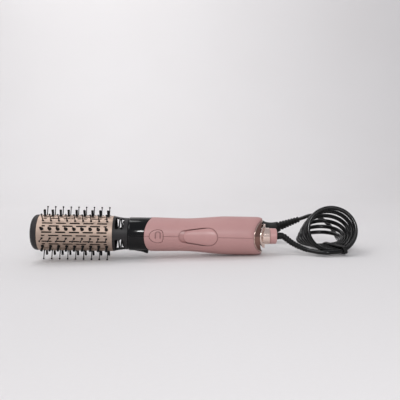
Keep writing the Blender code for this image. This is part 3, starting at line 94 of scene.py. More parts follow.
# %% Camera
PICTURE = 400
FOCAL_PIXELS = 530.0
SENSOR_WIDTH = 36.0
VIEW_DISTANCE = 0.747
VIEW_ELEVATION = math.radians(8.0)
VIEW_ROLL = math.radians(-1.47)
VIEW_POINT = Vector((0.0362, 0.0, 0.030))
VIEW_POINT_PIXEL = (181.2, 235.6)


def add_object(name, data):
    """A new object in the scene."""
    made = bpy.data.objects.new(name, data)
    bpy.context.scene.collection.objects.link(made)
    return made


def make_camera():
    lens = bpy.data.cameras.new("view")
    lens.sensor_width = SENSOR_WIDTH
    lens.lens = FOCAL_PIXELS / PICTURE * SENSOR_WIDTH
    camera = add_object("view", lens)
    back = Vector((0.0, -math.cos(VIEW_ELEVATION), math.sin(VIEW_ELEVATION)))
    camera.location = VIEW_POINT + back * VIEW_DISTANCE
    right, down = [(pixel - PICTURE / 2) / FOCAL_PIXELS for pixel in VIEW_POINT_PIXEL]
    to_point = Vector((right, -down, -1.0)).normalized()
    level = (-back).to_track_quat("-Z", "Y").to_matrix()
    roll = Matrix.Rotation(VIEW_ROLL, 3, "Z")
    shift = to_point.rotation_difference(Vector((0.0, 0.0, -1.0))).to_matrix()
    camera.rotation_euler = (level @ roll @ shift).to_euler()
    bpy.context.scene.camera = camera
    return camera


camera = make_camera()
bpy.context.scene.view_settings.view_transform = "Standard"
print("camera at", [round(value, 3) for value in camera.location], "lens", round(camera.data.lens, 1), "mm")

# %% [markdown]
# ## Words for shader maths
# Node graphs are hard to read as lists of links. A small class wraps one output socket, so that sums of
# surface values read as Python, and each operator adds its Math node. Colours go through Mix nodes and
# directions through Vector Math, because a Math node would turn them into a single number.

# %% Shader values
class Signal:
    """An output socket in a material, with the operators that the finishes below use."""

    def __init__(self, tree, socket):
        self.tree = tree
        self.socket = socket

    def node(self, kind, settings=None, inputs=None, output=0):
        """Adds any node: its type, the settings to make first, then the values or links of its sockets."""
        made = self.tree.nodes.new(kind)
        for name, value in (settings or {}).items():
            setattr(made, name, value)
        for name, value in (inputs or {}).items():
            self.feed(made.inputs[name], value)
        return Signal(self.tree, made.outputs[output])

    def feed(self, socket, value):
        if isinstance(value, Signal):
            self.tree.links.new(value.socket, socket)
        else:
            socket.default_value = value

    def math(self, operation, other):
        return self.node("ShaderNodeMath", {"operation": operation}, {0: self, 1: other})

    def __add__(self, other):
        return self.math("ADD", other)

    __radd__ = __add__

    def __mul__(self, other):
        return self.math("MULTIPLY", other)

    __rmul__ = __mul__

    def above(self, limit):
        return self.math("GREATER_THAN", limit)

    def blend(self, low, high):
        """Colour from low to high for values from 0 to 1; a Mix node's colours are sockets 6 and 7."""
        return self.node("ShaderNodeMix", {"data_type": "RGBA"}, {"Factor": self, 6: low, 7: high}, 2)

    def stretched(self, scales):
        """This position with each direction scaled by its own amount."""
        return self.node("ShaderNodeVectorMath", {"operation": "MULTIPLY"}, {0: self, 1: scales})

    def noise(self, size, detail=2.0):
        """Soft random value with features of about a size in metres, from 0 to 1."""
        return self.node("ShaderNodeTexNoise", None, {"Vector": self, "Scale": 1.0 / size, "Detail": detail})


print("shader words ready")


# %% Finish tools
def paint(red, green, blue):
    """Colour written as it looks on a screen, from 0 to 255, as the shader's light values."""
    def light(value):
        share = value / 255
        return share / 12.92 if share <= 0.04045 else ((share + 0.055) / 1.055) ** 2.4
    return (light(red), light(green), light(blue), 1.0)


def new_finish(name, constants):
    """A material with its shader's fixed values set; gives the shader and the position on the piece."""
    finish = bpy.data.materials.new(name)
    finish.use_nodes = True
    shader = finish.node_tree.nodes["Principled BSDF"]
    for socket, value in constants.items():
        shader.inputs[socket].default_value = value
    place = finish.node_tree.nodes.new("ShaderNodeTexCoord")
    return finish, shader, Signal(finish.node_tree, place.outputs["Object"])


def wear(surface, shader, values, bump=None, strength=0.2, depth=0.0001):
    """Feeds the values that vary over a surface to its shader, and a height to its normal."""
    for name, value in values.items():
        surface.feed(shader.inputs[name], value)
    if bump is not None:
        inputs = {"Height": bump, "Strength": strength, "Distance": depth}
        surface.feed(shader.inputs["Normal"], surface.node("ShaderNodeBump", None, inputs))


print("finish tools ready")

# %% [markdown]
# ## Table, backdrop and light
# The photograph has a pale table that rises into a pale wall, with the light from the front left, so that
# the right side is a little darker and soft shadows lie under the brush. One sheet bent up behind the
# object gives both table and wall. A broad lamp lights it from above, two small ones in front give the
# highlights, one is for the wall, and an even world light fills the shadows.

# %% Stage
FLOOR_REACH = 3.0
FLOOR_FRONT = -2.0
BEND_START = 0.9
BEND_RADIUS = 0.8
BEND_STEPS = 12
WALL_TOP = 3.0


def backdrop_finish():
    finish, shader, surface = new_finish("pale_backdrop", {"Specular IOR Level": 0.15})
    grain = surface.noise(0.004, 3.0)
    cloud = surface.noise(0.35, 1.0)
    colour = (cloud * 0.6 + grain * 0.4).blend(paint(222, 219, 218), paint(228, 226, 226))
    wear(surface, shader, {"Base Color": colour, "Roughness": 0.62 + 0.1 * grain})
    return finish


def stepped(start, end, steps):
    """Values at even steps from a start to an end, with both."""
    return [start + (end - start) * step / steps for step in range(steps + 1)]


def mesh_of(name, bm):
    """A drawn form as a mesh; the drawing is used up."""
    mesh = bpy.data.meshes.new(name)
    bm.to_mesh(mesh)
    bm.free()
    return mesh


def make_stage():
    """Table that curves up into a wall behind the brush."""
    profile = [(FLOOR_FRONT, 0.0)]
    for angle in stepped(0.0, math.pi / 2, BEND_STEPS):
        profile.append((BEND_START + BEND_RADIUS * math.sin(angle), BEND_RADIUS * (1 - math.cos(angle))))
    profile.append((BEND_START + BEND_RADIUS, WALL_TOP))
    bm = bmesh.new()
    rows = [[bm.verts.new((x, y, z)) for y, z in profile] for x in (-FLOOR_REACH, FLOOR_REACH)]
    for index in range(len(profile) - 1):
        bm.faces.new((rows[0][index], rows[1][index], rows[1][index + 1], rows[0][index + 1]))
    mesh = mesh_of("backdrop", bm)
    mesh.shade_smooth()
    mesh.materials.append(backdrop_finish())
    backdrop = add_object("backdrop", mesh)


make_stage()
print("stage:", FLOOR_REACH * 2, "m wide")

# %% Lamps
LAMP_AIM = (0.02, 0.0, 0.03)
WALL_AIM = (0.35, 1.5, 1.0)
ROOM_COLOUR = (0.93, 0.94, 1.0, 1.0)
ROOM_STRENGTH = 0.48


def add_lamp(name, place, aim, width, height, power):
    data = bpy.data.lights.new(name, "AREA")
    data.shape = "ELLIPSE"
    data.size = width
    data.size_y = height
    data.energy = power
    lamp = add_object(name, data)
    lamp.location = place
    lamp.rotation_euler = (Vector(aim) - lamp.location).to_track_quat("-Z", "Y").to_euler()


def make_light():
    add_lamp("broad_lamp", (-1.15, -0.75, 1.6), LAMP_AIM, 1.4, 1.4, 12.0)
    add_lamp("window_lamp", (0.1, -1.28, 0.6), LAMP_AIM, 0.24, 0.14, 4.6)
    add_lamp("side_lamp", (0.42, -1.4, 0.72), LAMP_AIM, 0.4, 0.3, 1.8)
    add_lamp("wall_lamp", (-0.45, 0.6, 1.7), WALL_AIM, 1.2, 1.2, 15.5)
    world = bpy.data.worlds.new("room")
    world.use_nodes = True
    room = world.node_tree.nodes["Background"]
    room.inputs["Color"].default_value = ROOM_COLOUR
    room.inputs["Strength"].default_value = ROOM_STRENGTH
    bpy.context.scene.world = world


make_light()
print("lamps:", len(bpy.data.lights))

# %% [markdown]
# ## The pink handle
# The handle is moulded in dusty pink and sprayed with a thin satin lacquer. Up close such a lacquer has a
# slow cloudiness and a very fine orange peel, which breaks up its highlights. Two sizes of noise give both:
# the slow one shifts the colour and the coat a little, the fine one drives roughness and a shallow bump.

# %% Pink finishes
PINK = (181, 138, 135)
PINK_BELOW = (5, 5, 4)
PINK_ABOVE = (5, 4, 4)


def pink_finish(name, shade, roughness, peel):
    finish, shader, surface = new_finish(name, {"Specular IOR Level": 0.42, "Coat Roughness": 0.3})
    cloud = surface.noise(0.022)
    fine = surface.noise(0.0007)
    low = paint(*[part * shade - shift for part, shift in zip(PINK, PINK_BELOW)])
    high = paint(*[part * shade + shift for part, shift in zip(PINK, PINK_ABOVE)])
    values = {
        "Base Color": (cloud * 0.8 + fine * 0.2).blend(low, high),
        "Roughness": roughness + 0.1 * fine,
        "Coat Weight": 0.05 + 0.1 * cloud,
    }
    wear(surface, shader, values, fine, peel, 0.00008)
    return finish


SHELL_PINK = pink_finish("shell_pink", 1.0, 0.46, 0.12)
CONTROL_PINK = pink_finish("control_pink", 1.02, 0.3, 0.06)
CAP_PINK = pink_finish("cap_pink", 1.06, 0.36, 0.1)
# Painted shade: the arch's darker pink stands in for the shadows along its raised edges.
ARCH_PINK_PAINTED_SHADE = pink_finish("arch_pink_painted_shade", 0.8, 0.36, 0.06)
print("pink finishes:", [finish.name for finish in (SHELL_PINK, CONTROL_PINK, CAP_PINK, ARCH_PINK_PAINTED_SHADE)])

# %% [markdown]
# ## Rose metal and rose chrome
# The barrel is a thin anodised sleeve: a metal with a satin skin, finely drawn along its length. The ring
# at the tail is plated and nearly mirror bright; its body gets a darkened chrome, painted shade that stands
# in for the dark reflections it shows, while its rolled edge, the flange and the neck keep a light chrome of
# their own. The inside of the sleeve is painted dark too, as shade for the hollow barrel seen through its
# slots. One function makes all the metals, with the drawing lines as noise that is stretched along the brush.

# %% Metal finishes
def metal_finish(name, dark, light, roughness, spread, lines):
    finish, shader, surface = new_finish(name, {"Metallic": 1.0})
    drawn = surface.stretched((0.05, 1.0, 1.0)).noise(0.0006, 3.0)
    cloud = surface.noise(0.015)
    values = {
        "Base Color": (cloud * 0.6 + drawn * 0.4).blend(paint(*dark), paint(*light)),
        "Roughness": roughness + spread * drawn,
    }
    wear(surface, shader, values, drawn, lines, 0.00005)
    return finish


ROSE_METAL = metal_finish("rose_metal", (182, 161, 147), (194, 173, 159), 0.43, 0.14, 0.15)
ROSE_CHROME = metal_finish("rose_chrome", (232, 208, 196), (242, 220, 209), 0.16, 0.05, 0.02)
# Painted shade: a darkened chrome for the ring's body, standing in for the dark reflections it shows.
RING_CHROME_PAINTED_SHADE = metal_finish("ring_chrome_painted_shade", (130, 98, 89), (144, 112, 103), 0.08, 0.04, 0.02)
# Painted shade: the inside of the sleeve is dark so that its slots read as shaded hollows.
SLEEVE_INSIDE_PAINTED_SHADE = metal_finish("sleeve_inside_painted_shade", (34, 30, 27), (46, 41, 37), 0.5, 0.2, 0.1)
BRIGHT_STEEL = metal_finish("bright_steel", (176, 176, 178), (196, 196, 198), 0.22, 0.14, 0.12)
PIN_NICKEL = metal_finish("nickel_pins", (188, 186, 180), (206, 204, 198), 0.16, 0.1, 0.08)
print("metal finishes:", ROSE_METAL.name, ROSE_CHROME.name, RING_CHROME_PAINTED_SHADE.name, BRIGHT_STEEL.name)

# %% [markdown]
# ## The black plastics
# Five black materials differ mostly in gloss: the polished nose, the satin end cap and collar, the nylon
# bristles, the smooth cord jacket and the rubbery guard and plug. A grey one is for the walls inside. Black
# still needs variation to look real, so each has a fine grain in its roughness and bump, and a slow cloud
# in its colour.

# %% Black finishes
def moulded_finish(name, dark, light, roughness, spread, grain, bump, coat=0.0, shine=0.28):
    finish, shader, surface = new_finish(name, {"Specular IOR Level": shine, "Coat Roughness": 0.06})
    fine = surface.noise(grain, 3.0)
    cloud = surface.noise(grain * 25)
    values = {
        "Base Color": (cloud * 0.7 + fine * 0.3).blend(paint(*dark), paint(*light)),
        "Roughness": roughness + spread * fine,
        "Coat Weight": coat * (0.8 + 0.2 * cloud),
    }
    wear(surface, shader, values, fine, bump, grain * 0.15)
    return finish


GLOSS_BLACK = moulded_finish("gloss_black", (7, 6, 8), (10, 9, 11), 0.1, 0.04, 0.0009, 0.02, 0.02)
SATIN_BLACK = moulded_finish("satin_black", (36, 34, 35), (44, 42, 43), 0.38, 0.16, 0.0005, 0.22)
NYLON_BLACK = moulded_finish("nylon_black", (18, 17, 18), (26, 25, 26), 0.36, 0.2, 0.0003, 0.1)
JACKET_BLACK = moulded_finish("jacket_black", (4, 4, 4), (6, 6, 6), 0.1, 0.06, 0.0004, 0.04, 0.0, 0.32)
RUBBER_BLACK = moulded_finish("rubber_black", (8, 8, 8), (12, 11, 11), 0.4, 0.16, 0.0005, 0.2)
INNER_GREY = moulded_finish("inner_grey", (58, 57, 58), (72, 71, 72), 0.45, 0.16, 0.0006, 0.15)
print("black finishes:", GLOSS_BLACK.name, SATIN_BLACK.name, NYLON_BLACK.name, JACKET_BLACK.name)

# %% [markdown]
# ## Finishes inside the handle
# Two materials only show when the head is pulled off or the slider is pushed: the mica sheet of the heater
# and the green control board. Mica is mottled and flaky, and a board has faint copper tracks under its
# lacquer, so each gets the pattern that tells it apart.

# %% Inner finishes
def mica_finish():
    finish, shader, surface = new_finish("mica", {"Specular IOR Level": 0.5})
    flake = surface.node("ShaderNodeTexVoronoi", {"feature": "F1"}, {"Vector": surface, "Scale": 400.0})
    cloud = surface.noise(0.004, 4.0)
    colour = (flake * 0.5 + cloud * 0.5).blend(paint(196, 184, 158), paint(150, 134, 104))
    wear(surface, shader, {"Base Color": colour, "Roughness": 0.3 + 0.25 * cloud}, flake, 0.2)
    return finish


def board_finish():
    finish, shader, surface = new_finish("circuit_green", {"Specular IOR Level": 0.5})
    settings = {"wave_type": "BANDS", "bands_direction": "X"}
    waves = {"Vector": surface, "Scale": 90.0, "Distortion": 6.0, "Detail": 2.0}
    track = surface.node("ShaderNodeTexWave", settings, waves, 1).above(0.6)
    colour = track.blend(paint(18, 72, 44), paint(34, 98, 60))
    wear(surface, shader, {"Base Color": colour, "Roughness": 0.3 + 0.1 * track}, track, 0.3)
    return finish


MICA = mica_finish()
CIRCUIT_GREEN = board_finish()
print("inner finishes:", MICA.name, CIRCUIT_GREEN.name)

# %% [markdown]
# ## Tools for round pieces
# Almost every piece of the brush is round about the axis. A few helpers draw them: one softens the corners
# of an outline, as a mould does, one skins rows of points with faces, and one turns an outline about the
# axis like a lathe. Others join drawings, cut one out of a piece, and file a mesh: body, finish, and what
# it replaces.

# %% Outlines
ROUND_STEPS = 96
GAP = 0.3
RUNNING_GAP = 0.5
FLAT_CORNER = math.radians(160)
CORNER_REACH = 0.45
MERGE = 0.0001


def soften(outline, radius, closed=True, steps=3):
    """Rounds the corners of an outline by up to a radius."""
    points = [Vector(point) for point in outline]
    made = []
    for index, corner in enumerate(points):
        before = points[index - 1] - corner
        after = points[(index + 1) % len(points)] - corner
        at_end = not closed and index in (0, len(points) - 1)
        if at_end or before.angle(after, math.pi) > FLAT_CORNER:
            made.append(corner)
            continue
        start = corner + before * min(CORNER_REACH, radius / before.length)
        end = corner + after * min(CORNER_REACH, radius / after.length)
        for t in stepped(0.0, 1.0, steps):
            made.append(start * (1 - t) ** 2 + corner * 2 * t * (1 - t) + end * t ** 2)
    return made


def soft_box(low, high, bottom, top, radius, steps=3):
    """Outline of a rectangle with soft corners."""
    return soften([(low, bottom), (high, bottom), (high, top), (low, top)], radius, True, steps)


def round_angles(steps):
    return [math.tau * step / steps for step in range(steps)]


def circle(centre, first, second, radius, steps):
    """Points round a centre, in the plane of two directions."""
    ways = [first * math.cos(angle) + second * math.sin(angle) for angle in round_angles(steps)]
    return [centre + way * radius for way in ways]


def wall_row(outline, angle):
    """An outline of (distance, radius), stood up at an angle about the axis."""
    return [at(point[0], point[1], angle) for point in outline]


print("outline tools ready")


# %% Skins
def skin(rows, ends=False, closed_round=False, closed_rows=True, bm=None):
    """Joins neighbouring rows of points by faces, in a new drawing or a given one; it may get flat ends."""
    if bm is None:
        bm = bmesh.new()
    made = [[bm.verts.new(point) for point in row] for row in rows]
    count = len(made[0])
    for index in range(len(made) if closed_round else len(made) - 1):
        here = made[index]
        there = made[(index + 1) % len(made)]
        for step in range(count if closed_rows else count - 1):
            after = (step + 1) % count
            bm.faces.new((here[step], here[after], there[after], there[step]))
    if ends:
        bm.faces.new(made[0])
        bm.faces.new(made[-1])
    return bm


def swept(outline_at, steps=ROUND_STEPS, closed_rows=True):
    """A wall round the axis, from its outline at each angle."""
    rows = [wall_row(outline_at(angle), angle) for angle in round_angles(steps)]
    return skin(rows, closed_round=True, closed_rows=closed_rows)


def turned(profile, steps=ROUND_STEPS, closed=True):
    """Turns an outline of (distance, radius) about the axis; an open one starts and ends on the axis."""
    bm = swept(lambda angle: profile, steps, closed)
    bmesh.ops.remove_doubles(bm, verts=bm.verts, dist=MERGE)
    return bm


def joined(drawings):
    """Several drawings in one."""
    whole = bmesh.new()
    for bm in drawings:
        mesh = mesh_of("joining", bm)
        whole.from_mesh(mesh)
        bpy.data.meshes.remove(mesh)
    return whole


print("skin tools ready")


# %% Pieces of the frame
def placed_mesh(name, bm, place):
    """A drawing as a mesh in the frame's metres, with every face turned outward."""
    bmesh.ops.transform(bm, matrix=place, verts=bm.verts)
    bmesh.ops.recalc_face_normals(bm, faces=bm.faces)
    return mesh_of(name, bm)


def file_piece(name, bm, finish, body, nodes=(), place=BRUSH, sharp=32.0, lining=None):
    """Turns a drawing into a piece of the frame; faces with index 1 get the lining's finish."""
    mesh = placed_mesh(name, bm, place)
    mesh.materials.append(finish)
    if lining:
        mesh.materials.append(lining)
    mesh.shade_smooth()
    mesh.set_sharp_from_angle(angle=math.radians(sharp))
    piece = add_object(name, mesh)
    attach(piece, body)
    if nodes:
        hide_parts(*nodes)
    return piece


def cut(piece, bm):
    """Cuts a drawing out of a piece, and keeps the piece as a plain mesh."""
    mesh = placed_mesh("cutter", bm, BRUSH)
    tool = add_object("cutter", mesh)
    modifier = piece.modifiers.new("cut", "BOOLEAN")
    modifier.operation = "DIFFERENCE"
    modifier.solver = "EXACT"
    modifier.object = tool
    graph = bpy.context.evaluated_depsgraph_get()
    result = bpy.data.meshes.new_from_object(piece.evaluated_get(graph))
    piece.modifiers.clear()
    old = piece.data
    piece.data = result
    result.name = old.name
    bpy.data.meshes.remove(old)
    bpy.data.objects.remove(tool)
    bpy.data.meshes.remove(mesh)


print("piece tools ready")

# %% [markdown]
# ## Sizes along the brush
# These are the brush's own measures, in millimetres from the tip: where each piece starts, and the radii
# that neighbours share. The handle's waist and swell come from one smooth step, and the slanted ends of the
# handle from one swept line, so that every piece that meets the handle can ask for the same surface.

# %% Sizes
BARREL_START = 10.5
BARREL_LENGTH = 101.7
BARREL_RADIUS = 24.6
BARREL_WALL = 0.8
COLLAR_START = BARREL_START + BARREL_LENGTH
COLLAR_LENGTH = 20.8
NOSE_START = COLLAR_START + COLLAR_LENGTH
NOSE_LENGTH = 31.8
HANDLE_FRONT = NOSE_START + NOSE_LENGTH
HANDLE_LENGTH = 155.1
HANDLE_REAR = HANDLE_FRONT + HANDLE_LENGTH
FRONT_RADIUS = 23.5
WAIST_RADIUS = 22.8
REAR_RADIUS = 26.6
SWELL_START = HANDLE_FRONT + 46.0
SWELL_END = SWELL_START + 63.0
FRONT_SWEEP = 9.4
REAR_SWEEP = 14.4
SWEEP_ROUND = 7.0
SHELL_WALL = 2.6
LIP_LENGTH = 9.0
LIP_DROP = 2.6
LIP_WALL = 1.6


def smooth_step(start, end, x):
    share = min(max((x - start) / (end - start), 0.0), 1.0)
    return share * share * (3.0 - 2.0 * share)


def handle_radius(x):
    waist = FRONT_RADIUS + smooth_step(HANDLE_FRONT, SWELL_START, x) * (WAIST_RADIUS - FRONT_RADIUS)
    return waist + smooth_step(SWELL_START, SWELL_END, x) * (REAR_RADIUS - WAIST_RADIUS)


def swept_edge(x_top, sweep, reach, lateral):
    """Slanted end: furthest back at the top and bottom, drawn forward at the front and back."""
    full = math.hypot(reach, SWEEP_ROUND) - SWEEP_ROUND
    return x_top - sweep * (math.hypot(lateral, SWEEP_ROUND) - SWEEP_ROUND) / full


def front_edge(angle):
    return swept_edge(HANDLE_FRONT, FRONT_SWEEP, FRONT_RADIUS, FRONT_RADIUS * math.cos(angle))


def rear_edge(angle):
    return swept_edge(HANDLE_REAR, REAR_SWEEP, REAR_RADIUS, REAR_RADIUS * math.cos(angle))


def front_depth(radius, height):
    """How far the front of a round surface is from the axis, at a height."""
    return -math.sqrt(max(radius * radius - height * height, 0.0))


print("barrel from", BARREL_START, "handle from", HANDLE_FRONT, "to", HANDLE_REAR, "mm")

# %% [markdown]
# ## The mains cord
# Nearly 1.4 metres of round black flex leave the tail through a guard, are wound into loops that a tie
# holds near the table, and end in a plug behind the handle. A curve with a round bevel is the natural tool:
# its length is then a real measure. The loops are worked out by a formula, and only the free stretches are
# chosen.

# %% Path tools
SMOOTH_STEPS = 24


def even_path(points, spacing):
    """The same line with its points at an even spacing."""
    lengths = [(b - a).length for a, b in zip(points, points[1:])]
    count = max(round(sum(lengths) / spacing), 2)
    stride = sum(lengths) / count
    made = [points[0]]
    travelled = 0.0
    for start, end, length in zip(points, points[1:], lengths):
        while len(made) < count and travelled + length >= stride * len(made):
            made.append(start.lerp(end, (stride * len(made) - travelled) / length))
        travelled += length
    return made + [points[-1]]


def smooth_path(points, spacing):
    """Points at an even spacing on a smooth curve through the chosen ones."""
    chosen = [Vector(point) for point in points]
    ends = [2 * chosen[0] - chosen[1]] + chosen + [2 * chosen[-1] - chosen[-2]]
    fine = []
    for p0, p1, p2, p3 in zip(ends, ends[1:], ends[2:], ends[3:]):
        for t in stepped(0.0, 1.0, SMOOTH_STEPS)[:-1]:
            bend = (2 * p0 - 5 * p1 + 4 * p2 - p3) * t ** 2 + (3 * p1 - p0 - 3 * p2 + p3) * t ** 3
            fine.append(0.5 * (2 * p1 + (p2 - p0) * t + bend))
    return even_path(fine + [chosen[-1]], spacing)


print("path tools ready")

# %% Cord route
CORD_RADIUS = 2.9
CORD_STEP = 2.9
TAIL_END = HANDLE_REAR + 20.25
COIL_HALF_WIDTH = 32.0
COIL_HALF_HEIGHT = 31.1
COIL_SHRINK = 1.14
COIL_TURNS = 6.25
COIL_CENTRE_X = 244.4
COIL_FRONT_Y = -33.2
COIL_STEP = 9.95
COIL_TILT_FRONT = math.radians(79.6)
COIL_TILT_BACK = math.radians(7.2)
COIL_POINTS = 64
TIE_TURN = 0.045
TIE_WIDTH = 5.0
TIE_CLEARANCE = 1.5
TIE_THICKNESS = 0.9
COIL_FOOT = CORD_RADIUS + TIE_CLEARANCE + TIE_THICKNESS + TIE_WIDTH / 2 * math.sin(math.tau * TIE_TURN) + GAP
GUARD_RADIUS = 5.0
LEAD_POINTS = ((192.5, -6.0, 15.8), (208.0, -16.5, 8.6), (221.0, -26.5, 6.2))
TAIL_POINTS = ((275.0, 74.0, 18.5), (268.5, 80.0, 29.5), (256.0, 80.5, 40.0), (241.0, 77.8, 45.5))
PLUG_AIM = Vector((-53.0, 26.0, -22.0)).normalized()
PLUG_FACE = Vector((170.1, 111.7, 0.0))
PLUG_FLANGE_RADIUS = 18.0
PLUG_LENGTH = 62.0
UP = Vector((0.0, 0.0, 1.0))


def coil_point(turn):
    """Point of the coil: oval loops that stand on their tie, lean back and fan out."""
    lean = COIL_TILT_FRONT + (COIL_TILT_BACK - COIL_TILT_FRONT) * turn / COIL_TURNS
    rise = (COIL_HALF_HEIGHT - COIL_SHRINK * turn) * (1 - math.cos(math.tau * turn))
    x = COIL_CENTRE_X + COIL_HALF_WIDTH * math.sin(math.tau * turn)
    y = COIL_FRONT_Y + COIL_STEP * turn + rise * math.cos(lean)
    return Vector((x, y, COIL_FOOT + rise * math.sin(lean)))


def plug_matrix():
    """Millimetres along the plug, from its pin face to the cord, to metres in the frame."""
    side = UP.cross(-PLUG_AIM).normalized()
    up = (-PLUG_AIM).cross(side)
    matrix = Matrix((-PLUG_AIM, side, up)).transposed().to_4x4()
    matrix.translation = PLUG_FACE + UP * (PLUG_FLANGE_RADIUS * up.z + GAP)
    return TABLE @ matrix


PLUG = plug_matrix()


def cord_paths():
    """The cord's three stretches in millimetres: lead, coil and tail."""
    straight = CORD_RADIUS * 2
    start = BRUSH @ Vector((TAIL_END, 0.0, 0.0)) / MM
    loops = [coil_point(turn) for turn in stepped(0.0, COIL_TURNS, round(COIL_TURNS * COIL_POINTS))]
    run_in = (loops[1] - loops[0]).normalized()
    run_out = (loops[-1] - loops[-2]).normalized()
    coil_start = loops[0] - run_in * straight
    coil_end = loops[-1] + run_out * straight
    plug_end = PLUG @ Vector((PLUG_LENGTH, 0.0, 0.0)) / MM
    lead = [start, start + ALONG * GUARD_RADIUS * 2, *LEAD_POINTS, coil_start - run_in * straight, coil_start]
    tail = [coil_end, coil_end + run_out * straight, *TAIL_POINTS, plug_end - PLUG_AIM * straight, plug_end]
    return smooth_path(lead, CORD_STEP), loops, smooth_path(tail, CORD_STEP)


LEAD, LOOPS, TAIL = cord_paths()
CORD_PATH = even_path(LEAD + LOOPS + TAIL, CORD_STEP)
CORD_LENGTH = sum((b - a).length for a, b in zip(CORD_PATH, CORD_PATH[1:])) * MM
print("cord:", len(CORD_PATH), "points,", round(CORD_LENGTH, 3), "m long")

# %% Cord
CORD_BEVEL_STEPS = 5


def make_cord():
    """The flex as one curve with a round bevel."""
    data = bpy.data.curves.new("mains_cord", "CURVE")
    data.dimensions = "3D"
    data.bevel_depth = CORD_RADIUS * MM
    data.bevel_resolution = CORD_BEVEL_STEPS
    data.use_fill_caps = True
    spline = data.splines.new("POLY")
    spline.points.add(len(CORD_PATH) - 1)
    for point, place in zip(spline.points, CORD_PATH):
        point.co = (*(place * MM), 1.0)
    spline.use_smooth = True
    data.materials.append(JACKET_BLACK)
    cord = add_object("mains_cord", data)
    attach(cord, "handle")
    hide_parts("cord_lead", "cord_coil", "cord_tail")
    return cord


cord = make_cord()
print("cord drawn with", len(cord.data.splines), "spline")

# %% [markdown]
# ## The cord guard
# Where the flex leaves the pink cap it runs through a tapered rubber guard, so that it can't be bent
# sharply. The guard follows the flex, thick at the cap and slim at its end, and ring grooves let it bend.
# It is a tube of rings along the same path, whose radius steps in at each groove.

# %% Cord guard
GUARD_LENGTH = 50.0
GUARD_END_RADIUS = CORD_RADIUS * 1.15
GUARD_COLLAR = 9.0
GUARD_GROOVES = 10
GUARD_STEP = 0.4
GUARD_ROUND = 32
GUARD_EDGES = (0.6, 0.25)
GROOVE_DEPTH = 0.75
GROOVE_PLACE = 0.3
GROOVE_HALF = 0.24
GROOVE_STEEP = 1.6
CORD_COVER = 0.2


def guard_radius(distance):
    """Tapered radius, drawn in where a groove runs round."""
    taper = GUARD_RADIUS + (GUARD_END_RADIUS - GUARD_RADIUS) * distance / GUARD_LENGTH
    if distance < GUARD_COLLAR:
        return taper
    pitch = (GUARD_LENGTH - GUARD_COLLAR) / GUARD_GROOVES
    place = ((distance - GUARD_COLLAR) / pitch) % 1.0
    in_groove = max(0.0, 1.0 - abs(place - GROOVE_PLACE) / GROOVE_HALF)
    return max(taper - GROOVE_DEPTH * min(1.0, GROOVE_STEEP * in_groove), CORD_RADIUS + CORD_COVER)


def tube_rows(path, radii):
    """Rings square to a path, each with its radius."""
    rows = []
    side = UP
    for index, place in enumerate(path):
        ahead = (path[min(index + 1, len(path) - 1)] - path[max(index - 1, 0)]).normalized()
        side = (side - ahead * side.dot(ahead)).normalized()
        rows.append(circle(place, side, ahead.cross(side), radii[index], GUARD_ROUND))
    return rows


def make_cord_guard():
    start = LEAD[0] + (LEAD[1] - LEAD[0]).normalized() * GAP
    count = round(GUARD_LENGTH / GUARD_STEP)
    path = even_path([start] + LEAD[1:], GUARD_STEP)[:count + 1]
    radii = [guard_radius(distance) for distance in stepped(0.0, GUARD_LENGTH, count)]
    radii[0] -= GUARD_EDGES[0]
    radii[-1] -= GUARD_EDGES[1]
    bm = skin(tube_rows(path, radii), ends=True)
    return file_piece("flex_guard", bm, RUBBER_BLACK, "handle", ["cord_guard"], TABLE, 50.0)


guard = make_cord_guard()
print("guard:", len(guard.data.polygons), "faces over", GUARD_LENGTH, "mm")

# %% [markdown]
# ## The plug
# The plug lies behind the handle, and only its ribbed strain relief and a little of its body show. It is a
# moulded round two-pin plug: a flange at the pin face, a waisted grip, and flexible ribs towards the cord.
# All of that is turned about one axis, so one outline with softened corners makes it.

# %% Plug
FACE_DISH = 1.2
PLUG_GRIP = ((FACE_DISH, 0.0), (FACE_DISH, 14.6), (0.0, 15.4), (0.0, PLUG_FLANGE_RADIUS),
             (4.5, PLUG_FLANGE_RADIUS), (6.5, 15.5), (10.0, 13.14), (14.0, 11.16), (18.0, 9.72), (22.0, 8.74),
             (27.0, 7.82))
RELIEF_START = 29.0
RELIEF_RADIUS = 4.6
RELIEF_RIBS = 7
RIB_PROFILE = ((0.0, 0.76), (0.28, 0.76), (0.38, 1.0), (0.9, 1.0))
CORD_SOCKET = 2.0
PLUG_SOFT = 0.5
PLUG_STEPS = 64
MAINS_PIN_RADIUS = 2.4
MAINS_PIN_LENGTH = 19.0
MAINS_PIN_SPACING = 19.0
MAINS_PIN_GROOVE = ((-9.0, 0.0), (-8.6, 0.25), (-8.2, 0.0))
MAINS_PIN_STEPS = 40


def plug_outline():
    outline = list(PLUG_GRIP)
    pitch = (PLUG_LENGTH - RELIEF_START) / RELIEF_RIBS
    for rib in range(RELIEF_RIBS):
        thick = RELIEF_RADIUS * (1.5 - 0.6 * rib / RELIEF_RIBS)
        outline += [(RELIEF_START + pitch * (rib + along), thick * share) for along, share in RIB_PROFILE]
    outline += [(PLUG_LENGTH, RELIEF_RADIUS * 0.85), (PLUG_LENGTH, CORD_RADIUS - GAP)]
    outline += [(PLUG_LENGTH - CORD_SOCKET, CORD_RADIUS - GAP), (PLUG_LENGTH - CORD_SOCKET, 0.0)]
    return outline


